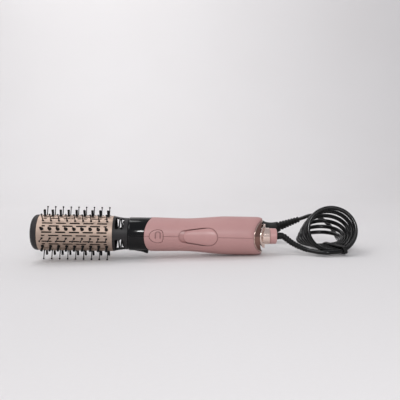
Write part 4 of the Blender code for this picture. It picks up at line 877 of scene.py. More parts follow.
def make_plug():
    """Moulded plug body, and two turned pins with rounded points."""
    body = turned(soften(plug_outline(), PLUG_SOFT, False, 2), PLUG_STEPS, False)
    made = [file_piece("moulded_plug", body, RUBBER_BLACK, "handle", ["plug_body"], PLUG)]
    foot = FACE_DISH - GAP
    pin = [(-MAINS_PIN_LENGTH, 0.0), (-MAINS_PIN_LENGTH, MAINS_PIN_RADIUS)]
    pin += [(x, MAINS_PIN_RADIUS - depth) for x, depth in MAINS_PIN_GROOVE]
    pin += [(foot, MAINS_PIN_RADIUS), (foot, 0.0)]
    for number, side in (("1", -0.5), ("2", 0.5)):
        bm = turned(soften(pin, MAINS_PIN_RADIUS * 0.8, False, 5), MAINS_PIN_STEPS, False)
        bmesh.ops.translate(bm, vec=(0.0, MAINS_PIN_SPACING * side, 0.0), verts=bm.verts)
        nodes = ["plug_pin_" + number]
        piece = file_piece("mains_pin_" + number, bm, PIN_NICKEL, "handle", nodes, PLUG)
        made.append(piece)
    return made


plug_pieces = make_plug()
print("plug:", [piece.name for piece in plug_pieces])

# %% [markdown]
# ## The tie
# A flat band holds the loops together near the table. It goes round all the passes of the cord at one place
# of the coil, so its size is measured from the loops: a rounded rectangle that just clears them, with soft
# edges. Four quarter turns of its flat section, skinned into a ring, make it.

# %% Tie
TIE_ROUND = 8
TIE_SIDES = ((1, 1), (-1, 1), (-1, -1), (1, -1))


def make_tie():
    passes = [coil_point(turn + TIE_TURN) for turn in range(math.ceil(COIL_TURNS))]
    run = (coil_point(1 + TIE_TURN + 0.01) - coil_point(1 + TIE_TURN - 0.01)).normalized()
    middle = sum(passes, Vector()) / len(passes)
    across = passes[-1] - passes[0]
    across = (across - run * across.dot(run)).normalized()
    up = run.cross(across)
    reach = [max(abs((place - middle).dot(way)) for place in passes) + TIE_CLEARANCE for way in (across, up)]
    flat = soft_box(-TIE_WIDTH / 2, TIE_WIDTH / 2, 0.0, TIE_THICKNESS, 0.3, 2)
    sections = []
    for quarter, (side, lift) in enumerate(TIE_SIDES):
        corner = middle + across * side * reach[0] + up * lift * reach[1]
        for angle in stepped(math.pi / 2 * quarter, math.pi / 2 * (quarter + 1), TIE_ROUND):
            outward = across * math.cos(angle) + up * math.sin(angle)
            sections.append([corner + outward * (CORD_RADIUS + point[1]) + run * point[0] for point in flat])
    bm = skin(sections, closed_round=True)
    return file_piece("loop_tie", bm, RUBBER_BLACK, "handle", ["cord_tie"], TABLE, 40.0)


tie = make_tie()

# %% [markdown]
# ## The pierced barrel
# Hot air leaves the barrel through rows of narrow slots, and the bristles stand through round holes between
# them. Cutting over two hundred holes with Booleans would be slow and untidy. Instead the sleeve is drawn
# flat, as the sheet it is rolled from: a triangulation keeps every hole's edge exact, and the sheet is then
# rolled up.

# %% Holes
CELL = 4.0


class Hole:
    """A hole with round ends in the flat sheet, between two points and of a width; a dot has one point."""

    def __init__(self, start, end, width):
        self.start = Vector(start)
        self.end = Vector(end)
        self.line = self.end - self.start
        self.half = width / 2

    def distance(self, point):
        """How far a point is from the hole's edge; negative inside."""
        share = 0.0
        if self.line.length > 0.0:
            share = min(max((point - self.start).dot(self.line) / self.line.length_squared, 0.0), 1.0)
        return (point - self.start - self.line * share).length - self.half

    def edge(self, steps):
        """Points round the hole."""
        lean = math.atan2(self.line.y, self.line.x)
        points = []
        for centre, first in ((self.end, lean - math.pi / 2), (self.start, lean + math.pi / 2)):
            for angle in stepped(first, first + math.pi, steps):
                points.append(centre + Vector((math.cos(angle), math.sin(angle))) * self.half)
        if self.line.length == 0.0:
            del points[steps]
            del points[-1]
        return points

    def cells(self):
        """Squares of the sheet that are in or next to the hole."""
        spans = []
        for a, b in zip(self.start, self.end):
            low = math.floor((min(a, b) - self.half) / CELL)
            high = math.floor((max(a, b) + self.half) / CELL)
            spans.append(range(low - 1, high + 2))
        return [(column, row) for column in spans[0] for row in spans[1]]


print("holes are looked up in squares of", CELL, "mm")

# %% Flat sheets with holes
HOLE_CLEARANCE = 0.35


def flat_sheet(start, end, around, holes, stations, steps, edge_steps=4):
    """Triangles of a flat sheet between its holes: points of (distance, way round) and index triples."""
    points = []
    edges = []
    cells = {}
    for hole in holes:
        ring = hole.edge(edge_steps)
        base = len(points)
        points += ring
        edges += [(base + index, base + (index + 1) % len(ring)) for index in range(len(ring))]
        for cell in hole.cells():
            cells.setdefault(cell, []).append(hole)

    def clear(point, distance):
        near = cells.get((math.floor(point[0] / CELL), math.floor(point[1] / CELL)), ())
        return all(hole.distance(point) > distance for hole in near)

    for station, x in enumerate(stepped(start, end, stations)):
        for step, way in enumerate(stepped(0.0, around, steps)):
            point = Vector((x, way))
            border = station in (0, stations) or step in (0, steps)
            if border or clear(point, HOLE_CLEARANCE):
                points.append(point)
    flat, _, triangles, _, _, _ = delaunay_2d_cdt(points, edges, [], 0, MERGE)
    kept = []
    for triangle in triangles:
        centre = sum((flat[index] for index in triangle), Vector((0.0, 0.0))) / 3
        if clear(centre, 0.0):
            kept.append(triangle)
    return flat, kept


print("flat sheets ready")

# %% Rolled sheets
SEAM = 0.002


def rolled(sheet, around, outer, inner, lined=False):
    """Rolls a flat sheet into a tube with an outer and an inner radius along its length."""
    flat, triangles = sheet
    bm = bmesh.new()
    corners = [bm.verts.new(at(point[0], outer(point[0]), math.tau * point[1] / around)) for point in flat]
    for triangle in triangles:
        bm.faces.new([corners[index] for index in triangle])
    bmesh.ops.remove_doubles(bm, verts=bm.verts, dist=SEAM)
    bmesh.ops.delete(bm, geom=[vert for vert in bm.verts if not vert.link_faces], context="VERTS")
    outside = list(bm.faces)
    open_edges = [edge for edge in bm.edges if len(edge.link_faces) == 1]
    below = {}
    for vert in list(bm.verts):
        share = inner(vert.co.x) / math.hypot(vert.co.y, vert.co.z)
        below[vert] = bm.verts.new((vert.co.x, vert.co.y * share, vert.co.z * share))
    for face in outside:
        inside = bm.faces.new([below[vert] for vert in reversed(face.verts)])
        inside.material_index = 1 if lined else 0
    for edge in open_edges:
        first, second = edge.verts
        bm.faces.new((first, second, below[second], below[first]))
    return bm


print("rolled sheets ready")

# %% Slots and holes of the sleeve
TUFT_ROW_TURN = math.radians(18.5)
BRISTLE_ROWS = 12
COLUMNS = 9
FIRST_COLUMN = BARREL_START + 7.7
LAST_COLUMN = COLLAR_START - 7.4
COLUMN_PLACES = stepped(FIRST_COLUMN, LAST_COLUMN, COLUMNS - 1)
LONG_SLOTS = 5
SLOT_WIDTH = 2.0
SLOT_PITCH = (LAST_COLUMN - FIRST_COLUMN + 5.7) / LONG_SLOTS
SLOT_BRIDGE = 4.2
SLOT_LENGTH = SLOT_PITCH - SLOT_BRIDGE
TUFT_HOLE = 4.0
PIN_HOLE = 2.4
SHEET_AROUND = math.tau * BARREL_RADIUS


def row_turn(row):
    return TUFT_ROW_TURN + math.tau * row / BRISTLE_ROWS


def slot_spans(staggered):
    """Start and end of each slot in a row; a staggered row begins and ends with a half slot."""
    middle = (FIRST_COLUMN + LAST_COLUMN) / 2
    low = middle - SLOT_PITCH * LONG_SLOTS / 2
    high = middle + SLOT_PITCH * LONG_SLOTS / 2
    first = low if staggered else low + SLOT_PITCH / 2
    spans = []
    for slot in range(LONG_SLOTS + 1 if staggered else LONG_SLOTS):
        centre = first + SLOT_PITCH * slot
        start = max(centre - SLOT_LENGTH / 2, low + SLOT_BRIDGE / 2)
        spans.append((start, min(centre + SLOT_LENGTH / 2, high - SLOT_BRIDGE / 2)))
    return spans


def sleeve_holes():
    holes = []
    band = SHEET_AROUND / BRISTLE_ROWS
    inset = SLOT_WIDTH / 2
    for row in range(BRISTLE_ROWS):
        middle = (row_turn(row) / math.tau * SHEET_AROUND) % SHEET_AROUND
        width = TUFT_HOLE if row % 2 == 0 else PIN_HOLE
        holes += [Hole((x, middle), (x, middle), width) for x in COLUMN_PLACES]
        for part, staggered in ((1, True), (2, False)):
            line = (middle + band * part / 3) % SHEET_AROUND
            for low, high in slot_spans(staggered):
                holes.append(Hole((low + inset, line), (high - inset, line), SLOT_WIDTH))
    return holes


SLEEVE_HOLES = sleeve_holes()
print("sleeve:", len(SLEEVE_HOLES), "holes")

# %% Barrel sleeve
SHEET_STATIONS = 36


def make_sleeve():
    sheet = flat_sheet(BARREL_START, COLLAR_START, SHEET_AROUND, SLEEVE_HOLES, SHEET_STATIONS, ROUND_STEPS)
    bm = rolled(sheet, SHEET_AROUND, lambda x: BARREL_RADIUS, lambda x: BARREL_RADIUS - BARREL_WALL, True)
    # The inner faces take the dark lining, a painted shade for the hollow barrel seen through the slots.
    return file_piece("pierced_sleeve", bm, ROSE_METAL, "barrel", ["barrel_sleeve"],
                      sharp=40.0, lining=SLEEVE_INSIDE_PAINTED_SHADE)


sleeve = make_sleeve()
print("sleeve:", len(sleeve.data.polygons), "faces")

# %% [markdown]
# ## Tufts and pins
# Six rows carry tufts of fine nylon that grip the hair, and six rows between them carry stiff pins with a
# round ball at the tip that is kind to the scalp. Every tuft is a bundle of single strands, splayed a
# little at the tip and cut to slightly uneven lengths. All of them stand on a bar inside the barrel,
# through a dark seat ring.

# %% Bars and seats
BAR_WIDTH = 5.0
BAR_LOW = 20.0
BAR_HIGH = 23.3
BAR_START = BARREL_START + 2.5
BAR_END = LAST_COLUMN + 2.5
BAR_SOFT = 0.5
SEAT_HEIGHT = 0.45
SEAT_RIM = 0.35
SEAT_FIT = 0.15
SEAT_CHAMFER = 0.3
SEAT_ROOT = BAR_HIGH + 0.05
SEAT_LOW = BARREL_RADIUS + 0.02
SEAT_STEPS = 20


def spot_frame(x, turn):
    """Base point on the axis, and the three directions of a bristle: outward, along and round."""
    outward = at(0.0, 1.0, turn)
    along = Vector((1.0, 0.0, 0.0))
    return Vector((x, 0.0, 0.0)), outward, along, outward.cross(along)


def add_bar(bm, turn):
    """Moulded bar inside the barrel that a row of bristles stands on, with soft edges."""
    outline = soft_box(BAR_LOW, BAR_HIGH, -BAR_WIDTH / 2, BAR_WIDTH / 2, BAR_SOFT, 2)
    rows = []
    for x in (BAR_START, BAR_END):
        base, outward, _, across = spot_frame(x, turn)
        rows.append([base + outward * point[0] + across * point[1] for point in outline])
    skin(rows, ends=True, bm=bm)


def add_seat(bm, spot, hole, bore):
    """Dark ring that fills the hole round a bristle and stands a little above the sleeve."""
    top = BARREL_RADIUS + SEAT_HEIGHT
    rim = hole / 2 + SEAT_RIM
    inside = hole / 2 - SEAT_FIT
    profile = [(SEAT_ROOT, bore), (SEAT_ROOT, inside), (SEAT_LOW, inside), (SEAT_LOW, rim),
               (SEAT_LOW + SEAT_HEIGHT / 2, rim), (top, rim - SEAT_CHAMFER), (top, bore)]
    base, outward, along, across = spot
    rows = []
    for away in circle(Vector(), along, across, 1.0, SEAT_STEPS):
        rows.append([base + outward * height + away * radius for height, radius in profile])
    skin(rows, closed_round=True, bm=bm)


print("bars from", BAR_START, "to", round(BAR_END, 1), "mm")

# %% One tuft, one pin
TUFT_TIP_RADIUS = 33.6
TUFT_STRANDS = 30
TUFT_ROOT = 1.3
TUFT_SPREAD = 1.65
TUFT_DOME = 0.5
SPREAD_CHANCE = 0.1
TIP_CHANCE = 0.5
SWAY_CHANCE = 0.15
STRAND_RADIUS = 0.24
STRAND_STEPS = 5
PIN_TIP_RADIUS = 37.8
PIN_STEM_RADIUS = 0.72
PIN_FOOT_RADIUS = PIN_STEM_RADIUS * 1.35
PIN_NECK_RADIUS = PIN_STEM_RADIUS * 0.82
PIN_BALL_RADIUS = 1.25
PIN_BALL_END = math.pi - 0.12
PIN_BALL_STEPS = 8
PIN_STEPS = 14
BRISTLE_FOOT = BAR_HIGH - 0.4
GOLDEN_TURN = math.pi * (3.0 - math.sqrt(5.0))


def add_rod(bm, spot, places, steps):
    """A thin round rod through places of (height, radius, along, round), with flat ends."""
    base, outward, along, across = spot
    rows = []
    for height, radius, shift, sway in places:
        centre = base + outward * height + along * shift + across * sway
        rows.append(circle(centre, along, across, radius, steps))
    skin(rows, ends=True, bm=bm)


def add_tuft(bm, spot, chance):
    """A bundle of strands, evenly packed at the root and splayed at the tip."""
    for strand in range(TUFT_STRANDS):
        angle = GOLDEN_TURN * strand
        share = math.sqrt((strand + 0.5) / TUFT_STRANDS)
        root = TUFT_ROOT * share
        spread = TUFT_SPREAD * share + chance.uniform(-SPREAD_CHANCE, SPREAD_CHANCE)
        tip = TUFT_TIP_RADIUS - TUFT_DOME * share * share - chance.uniform(0.0, TIP_CHANCE)
        sway = angle + chance.uniform(-SWAY_CHANCE, SWAY_CHANCE)
        stations = ((BRISTLE_FOOT, 1.0, root, angle), (BARREL_RADIUS + 0.4, 1.0, root, angle),
                    (BARREL_RADIUS + 4.6, 1.0, root * 0.55 + spread * 0.45, sway),
                    (tip - 0.25, 0.9, spread, sway), (tip, 0.45, spread, sway))
        places = []
        for height, slim, reach, turn in stations:
            places.append((height, STRAND_RADIUS * slim, reach * math.cos(turn), reach * math.sin(turn)))
        add_rod(bm, spot, places, STRAND_STEPS)


def add_pin(bm, spot):
    """A stiff pin with a foot, a slightly tapered stem and a ball at its tip."""
    places = [(BRISTLE_FOOT, PIN_FOOT_RADIUS, 0, 0), (BARREL_RADIUS + 0.9, PIN_FOOT_RADIUS, 0, 0),
              (BARREL_RADIUS + 1.8, PIN_STEM_RADIUS, 0, 0)]
    start = math.asin(PIN_NECK_RADIUS / PIN_BALL_RADIUS)
    for angle in stepped(start, PIN_BALL_END, PIN_BALL_STEPS):
        height = PIN_TIP_RADIUS - PIN_BALL_RADIUS - PIN_BALL_RADIUS * math.cos(angle)
        places.append((height, PIN_BALL_RADIUS * math.sin(angle), 0, 0))
    add_rod(bm, spot, places, PIN_STEPS)


print("tufts to", TUFT_TIP_RADIUS, "and pins to", PIN_TIP_RADIUS, "mm from the axis")

# %% Bristle rows
CHANCE_SEED = 7


def make_bristle_rows():
    chance = random.Random(CHANCE_SEED)
    for row in range(BRISTLE_ROWS):
        turn = row_turn(row)
        number = str(row // 2 + 1)
        kind = "tuft" if row % 2 == 0 else "pin"
        bm = bmesh.new()
        add_bar(bm, turn)
        for x in COLUMN_PLACES:
            spot = spot_frame(x, turn)
            if kind == "tuft":
                add_seat(bm, spot, TUFT_HOLE, TUFT_ROOT + STRAND_RADIUS)
                add_tuft(bm, spot, chance)
            else:
                add_seat(bm, spot, PIN_HOLE, PIN_FOOT_RADIUS)
                add_pin(bm, spot)
        nodes = [kind + "_strip_" + number]
        file_piece(kind + "_row_" + number, bm, NYLON_BLACK, "barrel", nodes, sharp=60.0)


make_bristle_rows()
print("bristles:", BRISTLE_ROWS, "rows of", COLUMNS, "with", TUFT_STRANDS, "strands in a tuft")

# %% [markdown]
# ## End cap and vent collar
# The black cap closes the barrel at the tip with a rounded shoulder round a flat face, where a faint
# moulding ring shows. The collar at the other end is hollow and pierced by pairs of wide slots, so that
# light shows right through it. The cap is turned; the collar is another sheet with holes, rolled to a
# curved outline.

# %% End cap
FLAT_RADIUS = 14.0
FLAT_DISH = 0.35
CAP_WALL = 3.6
CAP_EDGE = 0.25
SPIGOT_LENGTH = 2.2
DOME_SHARE = 0.72
DOME_STEPS = 16
SLEEVE_FIT = BARREL_RADIUS - BARREL_WALL - GAP


def make_end_cap():
    seat = BARREL_START - GAP
    outline = [(FLAT_DISH, 0.0), (FLAT_DISH, FLAT_RADIUS - 3.4), (0.0, FLAT_RADIUS - 3.0)]
    for angle in stepped(0.0, math.pi / 2, DOME_STEPS):
        radius = FLAT_RADIUS + (BARREL_RADIUS - FLAT_RADIUS) * math.sin(angle)
        outline.append((seat * DOME_SHARE * (1 - math.cos(angle)), radius))
    outline += [(seat - CAP_EDGE, BARREL_RADIUS), (seat, BARREL_RADIUS - CAP_EDGE), (seat, SLEEVE_FIT)]
    outline += [(seat + SPIGOT_LENGTH, SLEEVE_FIT), (seat + SPIGOT_LENGTH, SLEEVE_FIT - CAP_WALL / 2)]
    outline += [(CAP_WALL + 1.0, FLAT_RADIUS), (CAP_WALL, FLAT_RADIUS - 2.0), (CAP_WALL, 0.0)]
    bm = turned(outline, closed=False)
    return file_piece("domed_cap", bm, SATIN_BLACK, "barrel", ["end_cap"])


cap = make_end_cap()
print("end cap:", len(cap.data.polygons), "faces")

# %% Vent collar
COLLAR_LOW = COLLAR_START + GAP
COLLAR_HIGH = NOSE_START - GAP
COLLAR_REAR_RADIUS = 21.9
COLLAR_WALL = 2.0
COLLAR_EDGE = 0.25
COLLAR_EDGE_LENGTH = 0.4
COLLAR_SLOT_WIDTH = 5.0
COLLAR_SLOT_PITCH = 6.8
COLLAR_SLOT_FIRST = COLLAR_LOW + COLLAR_SLOT_WIDTH * 1.1
COLLAR_SLOT_ARC = math.radians(55.0)
COLLAR_SLOT_TURN = math.radians(49.0)
COLLAR_GROUPS = 4
COLLAR_SHEET_RADIUS = 23.0
COLLAR_AROUND = math.tau * COLLAR_SHEET_RADIUS
COLLAR_STATIONS = 24
SPIGOT_ROOT = 0.6
SPIGOT_SOFT = 0.3
SLOT_EDGE_STEPS = 8


def collar_radius(x):
    share = min(max((x - COLLAR_LOW) / (COLLAR_HIGH - COLLAR_LOW), 0.0), 1.0)
    edge = COLLAR_EDGE * max(0.0, 1.0 - (x - COLLAR_LOW) / COLLAR_EDGE_LENGTH)
    return COLLAR_REAR_RADIUS + (BARREL_RADIUS - COLLAR_REAR_RADIUS) * (1 - share) ** 2 - edge


def make_collar():
    half = COLLAR_SLOT_ARC / math.tau * COLLAR_AROUND / 2 - COLLAR_SLOT_WIDTH / 2
    holes = []
    for group in range(COLLAR_GROUPS):
        middle = (COLLAR_SLOT_TURN / math.tau + group / COLLAR_GROUPS) % 1.0 * COLLAR_AROUND
        for x in (COLLAR_SLOT_FIRST, COLLAR_SLOT_FIRST + COLLAR_SLOT_PITCH):
            holes.append(Hole((x, middle - half), (x, middle + half), COLLAR_SLOT_WIDTH))
    sheet = flat_sheet(COLLAR_LOW, COLLAR_HIGH, COLLAR_AROUND, holes,
                       COLLAR_STATIONS, ROUND_STEPS, SLOT_EDGE_STEPS)
    wall = rolled(sheet, COLLAR_AROUND, collar_radius, lambda x: collar_radius(x) - COLLAR_WALL)
    spigot = soft_box(COLLAR_LOW - SPIGOT_LENGTH, COLLAR_LOW + SPIGOT_ROOT,
                      SLEEVE_FIT - COLLAR_WALL, SLEEVE_FIT, SPIGOT_SOFT, 2)
    bm = joined([wall, turned(spigot)])
    return file_piece("slotted_collar", bm, SATIN_BLACK, "barrel", ["vent_collar"],
                      sharp=40.0)


collar = make_collar()
print("collar:", COLLAR_GROUPS * 2, "slots,", len(collar.data.polygons), "faces")

# %% [markdown]
# ## Halves with a parting line
# The nose and the handle are moulded as an upper and a lower half that meet at mid height, and the thin
# dark line between them runs the whole length of the brush. Each half is a row of wall outlines swept over
# half a turn. The first and last outline are drawn in a little, which makes the small groove that catches a
# shadow.

# %% Split pieces
HALF_STEPS = 60
PARTING_DROP = 0.3
PARTING_TURN = math.radians(0.9)
HALF_TURNS = [(0.0, PARTING_DROP), (PARTING_TURN, 0.0)]
HALF_TURNS += [(angle, 0.0) for angle in stepped(0.0, math.pi, HALF_STEPS)[1:-1]]
HALF_TURNS += [(math.pi - PARTING_TURN, 0.0), (math.pi, PARTING_DROP)]


def make_halves(name, outline_at, finish, body):
    """Upper and lower half of a split piece; outline_at gives the wall's outline at an angle."""
    halves = {}
    for side, sign in (("upper", 1.0), ("lower", -1.0)):
        lift = Vector((0.0, 0.0, sign * GAP / 2))
        rows = []
        for angle, drop in HALF_TURNS:
            row = wall_row(outline_at(sign * angle, drop), sign * angle)
            rows.append([point + lift for point in row])
        piece_name = side + "_" + name + "_half"
        halves[side] = file_piece(piece_name, skin(rows, ends=True), finish, body, [name + "_" + side])
    return halves


print("split pieces:", len(HALF_TURNS), "outlines in a half turn")

# %% Nose
NOSE_RADIUS = 23.1
NOSE_WALL = 2.2
NOSE_SKIRT = 3.0
NOSE_SOFT = 0.5
BUSH_SEAT = 17.7
BUSH_LENGTH = 8.0
AIR_TUBE_RADIUS = 14.4
AIR_TUBE_WALL = 1.2
AIR_TUBE_END = HANDLE_FRONT + 16.9


def nose_outline(angle, drop):
    """Wall of the nose, with the skirt that plugs into the handle and the air tube inside."""
    edge = front_edge(angle) - GAP
    skirt = handle_radius(HANDLE_FRONT) - SHELL_WALL - RUNNING_GAP
    inner = skirt - NOSE_WALL
    web = NOSE_START + NOSE_SKIRT * 2
    tube = AIR_TUBE_RADIUS - AIR_TUBE_WALL
    outer = NOSE_RADIUS - drop
    outline = [(NOSE_START - BUSH_LENGTH, BUSH_SEAT), (NOSE_START, BUSH_SEAT),
               (NOSE_START, outer - NOSE_WALL / 2), (NOSE_START + NOSE_WALL, outer), (edge, outer),
               (edge, skirt), (edge + NOSE_SKIRT, skirt), (edge + NOSE_SKIRT, inner), (web, inner),
               (web, AIR_TUBE_RADIUS), (AIR_TUBE_END, AIR_TUBE_RADIUS), (AIR_TUBE_END, tube),
               (web - NOSE_WALL, tube),
               (NOSE_START - BUSH_LENGTH, BUSH_SEAT - NOSE_WALL)]
    return soften(outline, NOSE_SOFT)


nose = make_halves("nose", nose_outline, GLOSS_BLACK, "head")
print("nose halves:", [half.name for half in nose.values()])

# %% [markdown]
# ## The release latch
# A long lever under the nose lets the head come off the handle. It is hinged at its front on a steel pin
# and rises to a thumb pad at its rear. Its outline is drawn from the side and given width, with narrower
# outlines at both flanks so that the long edges are soft, and the nose gets an opening for it.

# %% Latch outline
LATCH_FRONT = NOSE_START + 7.0
LATCH_LENGTH = 20.5
LATCH_REAR = LATCH_FRONT + LATCH_LENGTH
LATCH_WIDTH = 9.0
LATCH_RISE = 3.5
LATCH_SOFT = 0.9
LATCH_PIN_RADIUS = 0.8
LATCH_PIVOT_X = LATCH_FRONT + LATCH_PIN_RADIUS * 2.2
LATCH_PIVOT_Z = -(NOSE_RADIUS - LATCH_PIN_RADIUS * 2.6)


def latch_outline():
    """Side of the lever in (distance, height): flush at its front, with the thumb pad at its rear."""
    skin_z = -NOSE_RADIUS
    pad = skin_z - LATCH_RISE
    top = LATCH_PIVOT_Z + NOSE_WALL * 0.9
    outline = [(LATCH_FRONT, skin_z + 0.4), (LATCH_FRONT + LATCH_LENGTH * 0.2, skin_z - 0.2),
               (LATCH_FRONT + LATCH_LENGTH * 0.6, skin_z - LATCH_RISE * 0.4),
               (LATCH_REAR - LATCH_LENGTH * 0.1, pad), (LATCH_REAR, pad), (LATCH_REAR, top),
               (LATCH_FRONT, top)]
    return soften(outline, LATCH_SOFT, True, 4)


print("latch outline:", len(latch_outline()), "points")

# %% Latch
LATCH_FLANK = ((0.0, -0.5), (0.15, -0.2), (0.5, 0.0))
LATCH_PIN_STEPS = 24
RIGHT = Vector((1.0, 0.0))
ABOVE = Vector((0.0, 1.0))


def grown(outline, amount):
    """A closed outline moved outward by an amount."""
    points = [Vector(point) for point in outline]
    after = points[1:] + points[:1]
    before = points[-1:] + points[:-1]
    area = sum(a.x * b.y - b.x * a.y for a, b in zip(points, after))
    made = []
    for point, a, b in zip(points, before, after):
        line = (b - a).normalized()
        made.append(point + Vector((line.y, -line.x)) * math.copysign(amount, area * amount))
    return made


def upright(outline, y):
    """An outline seen from the side, at a place across the brush."""
    return [Vector((point.x, y, point.y)) for point in outline]


def make_latch():
    outline = latch_outline()
    half = LATCH_WIDTH / 2
    flanks = [(inset - half, amount) for inset, amount in LATCH_FLANK]
    flanks += [(half - inset, amount) for inset, amount in reversed(LATCH_FLANK)]
    bm = skin([upright(grown(outline, amount), place) for place, amount in flanks], ends=True)
    latch = file_piece("thumb_latch", bm, GLOSS_BLACK, "latch", ["release_latch"],
                       sharp=40.0)
    pivot = Vector((LATCH_PIVOT_X, LATCH_PIVOT_Z))
    bore = circle(pivot, RIGHT, ABOVE, LATCH_PIN_RADIUS + GAP, LATCH_PIN_STEPS)
    cut(latch, skin([upright(bore, y) for y in (-LATCH_WIDTH, LATCH_WIDTH)], ends=True))
    return latch


latch = make_latch()
print("latch:", len(latch.data.polygons), "faces")

# %% Opening for the latch
OPENING_CORNER = 1.2


def cut_latch_opening():
    """Opening in the underside of the nose, with round corners."""
    side = LATCH_WIDTH / 2 + RUNNING_GAP
    plan = soft_box(LATCH_FRONT - RUNNING_GAP, LATCH_REAR + RUNNING_GAP, -side, side, OPENING_CORNER, 4)
    depths = (-NOSE_RADIUS * 1.2, -AIR_TUBE_RADIUS - RUNNING_GAP * 2)
    cut(nose["lower"], skin([[point.to_3d() + UP * depth for point in plan] for depth in depths], ends=True))


cut_latch_opening()
print("lower nose half with its opening:", len(nose["lower"].data.polygons), "faces")

# %% [markdown]
# ## Handle shells
# The handle is waisted behind the nose and swells to the tail, with slanted ends and a rounded lip at the
# rear. Its halves come from the same surface that the frame's solids have, only finer. The openings for the
# button and the slider are cut with tools that flare at the surface, so that every rim gets a small
# chamfer.

# %% Shells
SHELL_STATIONS = 84
SHELL_INSIDE_STATIONS = 8
SHELL_EDGE = 0.4
SHELL_EDGE_DROP = 0.45
LIP_STEPS = 9


def shell_outline(angle, drop):
    """Wall of the handle at an angle: outside from front to rear, round the lip, then back inside."""
    front = front_edge(angle)
    rear = rear_edge(angle)
    outline = [(front, handle_radius(front) - drop - SHELL_EDGE_DROP)]
    for x in stepped(front + SHELL_EDGE, rear - LIP_LENGTH, SHELL_STATIONS):
        outline.append((x, handle_radius(x) - drop))
    for turn in stepped(0.0, math.pi / 2, LIP_STEPS)[1:]:
        x = rear - LIP_LENGTH * (1 - math.sin(turn))
        outline.append((x, handle_radius(x) - LIP_DROP * (1 - math.cos(turn)) - drop))
    outline.append((rear, handle_radius(rear) - LIP_DROP - LIP_WALL))
    for x in stepped(rear, front, SHELL_INSIDE_STATIONS)[1:]:
        outline.append((x, handle_radius(x) - SHELL_WALL))
    return outline


shells = make_halves("shell", shell_outline, SHELL_PINK, "handle")
print("shell halves:", [len(half.data.polygons) for half in shells.values()], "faces")

# %% Outlines of the button and the slider
BUTTON_MIDDLE = HANDLE_FRONT + 9.4
BUTTON_AHEAD = 11.6
BUTTON_BEHIND = 7.3
BUTTON_HALF_HEIGHT = 8.8
BUTTON_BLUNT = 0.65
BUTTON_STEPS = 180
SLIDER_MIDDLE = HANDLE_REAR - 76.4
SLIDER_LARGE_RADIUS = 12.2
SLIDER_SMALL_RADIUS = 8.5
SLIDER_CENTRES = 25.8
SLIDER_TRAVEL = 6.6
OUTLINE_STEP = 0.7
LARGE_ARC_STEPS = 40
SMALL_ARC_STEPS = 30


def even_outline(points):
    """A closed outline with its points at an even spacing."""
    return even_path(points + points[:1], OUTLINE_STEP)[:-1]


def button_outline():
    """Leaf-shaped outline in (distance, height): a round point ahead, blunt behind."""
    points = []
    for angle in round_angles(BUTTON_STEPS):
        across, up = math.cos(angle), math.sin(angle)
        power, length = (1.0, BUTTON_AHEAD) if across < 0.0 else (BUTTON_BLUNT, BUTTON_BEHIND)
        x = math.copysign(abs(across) ** power, across) * length
        z = math.copysign(abs(up) ** power, up) * BUTTON_HALF_HEIGHT
        points.append(Vector((BUTTON_MIDDLE + x, z)))
    return even_outline(points)


def drop_outline(small_x, small_radius, large_x, large_radius, stretch=0.0):
    """Outline round a small circle ahead and a large one behind; the rear may be stretched back."""
    lean = math.asin((large_radius - small_radius) / (large_x - small_x))
    half = math.pi / 2 + lean
    points = []
    for angle in stepped(-half, half, LARGE_ARC_STEPS):
        x = large_x + (stretch if math.cos(angle) > 0.0 else 0.0)
        points.append(Vector((x + large_radius * math.cos(angle), large_radius * math.sin(angle))))
    for angle in stepped(half, math.tau - half, SMALL_ARC_STEPS):
        points.append(Vector((small_x + small_radius * math.cos(angle), small_radius * math.sin(angle))))
    return even_outline(points)


print("button outline:", len(button_outline()), "points")

# %% Openings in the shells
RIM_CHAMFER = 0.3
RIM_FLARE = RIM_CHAMFER + 1.0
TOOL_DEPTHS = ((7.0, 0.0), (RIM_CHAMFER, 0.0), (-1.0, RIM_FLARE), (-6.0, RIM_FLARE))


def laid(x, z, radius):
    """A point on the front of a round surface."""
    return Vector((x, front_depth(radius, z), z))


def flared_tool(outline):
    """Cutting form that follows the handle's surface, straight inside and flared at the rim."""
    rows = []
    for depth, amount in TOOL_DEPTHS:
        inward = Vector((0.0, depth, 0.0))
        surface = [laid(point.x, point.y, handle_radius(point.x)) for point in grown(outline, amount)]
        rows.append([point + inward for point in surface])
    return skin(rows, ends=True)


def slider_opening():
    ahead = SLIDER_MIDDLE - SLIDER_TRAVEL
    small = SLIDER_SMALL_RADIUS + GAP
    large = SLIDER_LARGE_RADIUS + GAP
    return drop_outline(ahead - SLIDER_CENTRES, small, ahead, large, SLIDER_TRAVEL)


for half in shells.values():
    cut(half, flared_tool(grown(button_outline(), GAP)))
    cut(half, flared_tool(slider_opening()))
print("shells with openings:", [len(half.data.polygons) for half in shells.values()], "faces")

# %% [markdown]
# ## Button and slider
# The barrel's direction button is a leaf-shaped key with a shallow dish and a raised arch that the thumb can
# feel; the arch is a darker pink, a painted shade for the shadows along its edges. The slider behind it is a
# long drop-shaped pad with a crowned top, on a skirt that runs under the shell. Both are stacks of rings: one
# outline drawn in step by step and laid on the handle's surface.

# %% Button
BUTTON_PROUD = 0.5
BUTTON_THICKNESS = 2.0
BUTTON_DISH = ((0.03, -0.62), (0.3, -0.6), (0.55, -0.5), (0.72, -0.32), (0.84, -0.12), (0.92, -0.02),
               (0.96, -0.04), (0.985, -0.16), (1.0, -0.45), (1.0, -BUTTON_THICKNESS),
               (0.03, -BUTTON_THICKNESS))
JOINT_RELIEF = 0.2


def laid_ring(outline, centre, share, radius_at):
    """Outline drawn in towards its centre by a share and laid on a round surface."""
    ring = []
    for point in outline:
        x = centre + (point.x - centre) * share
        ring.append(laid(x, point.y * share, radius_at(x)))
    return ring


def button_top(x):
    return handle_radius(x) + BUTTON_PROUD


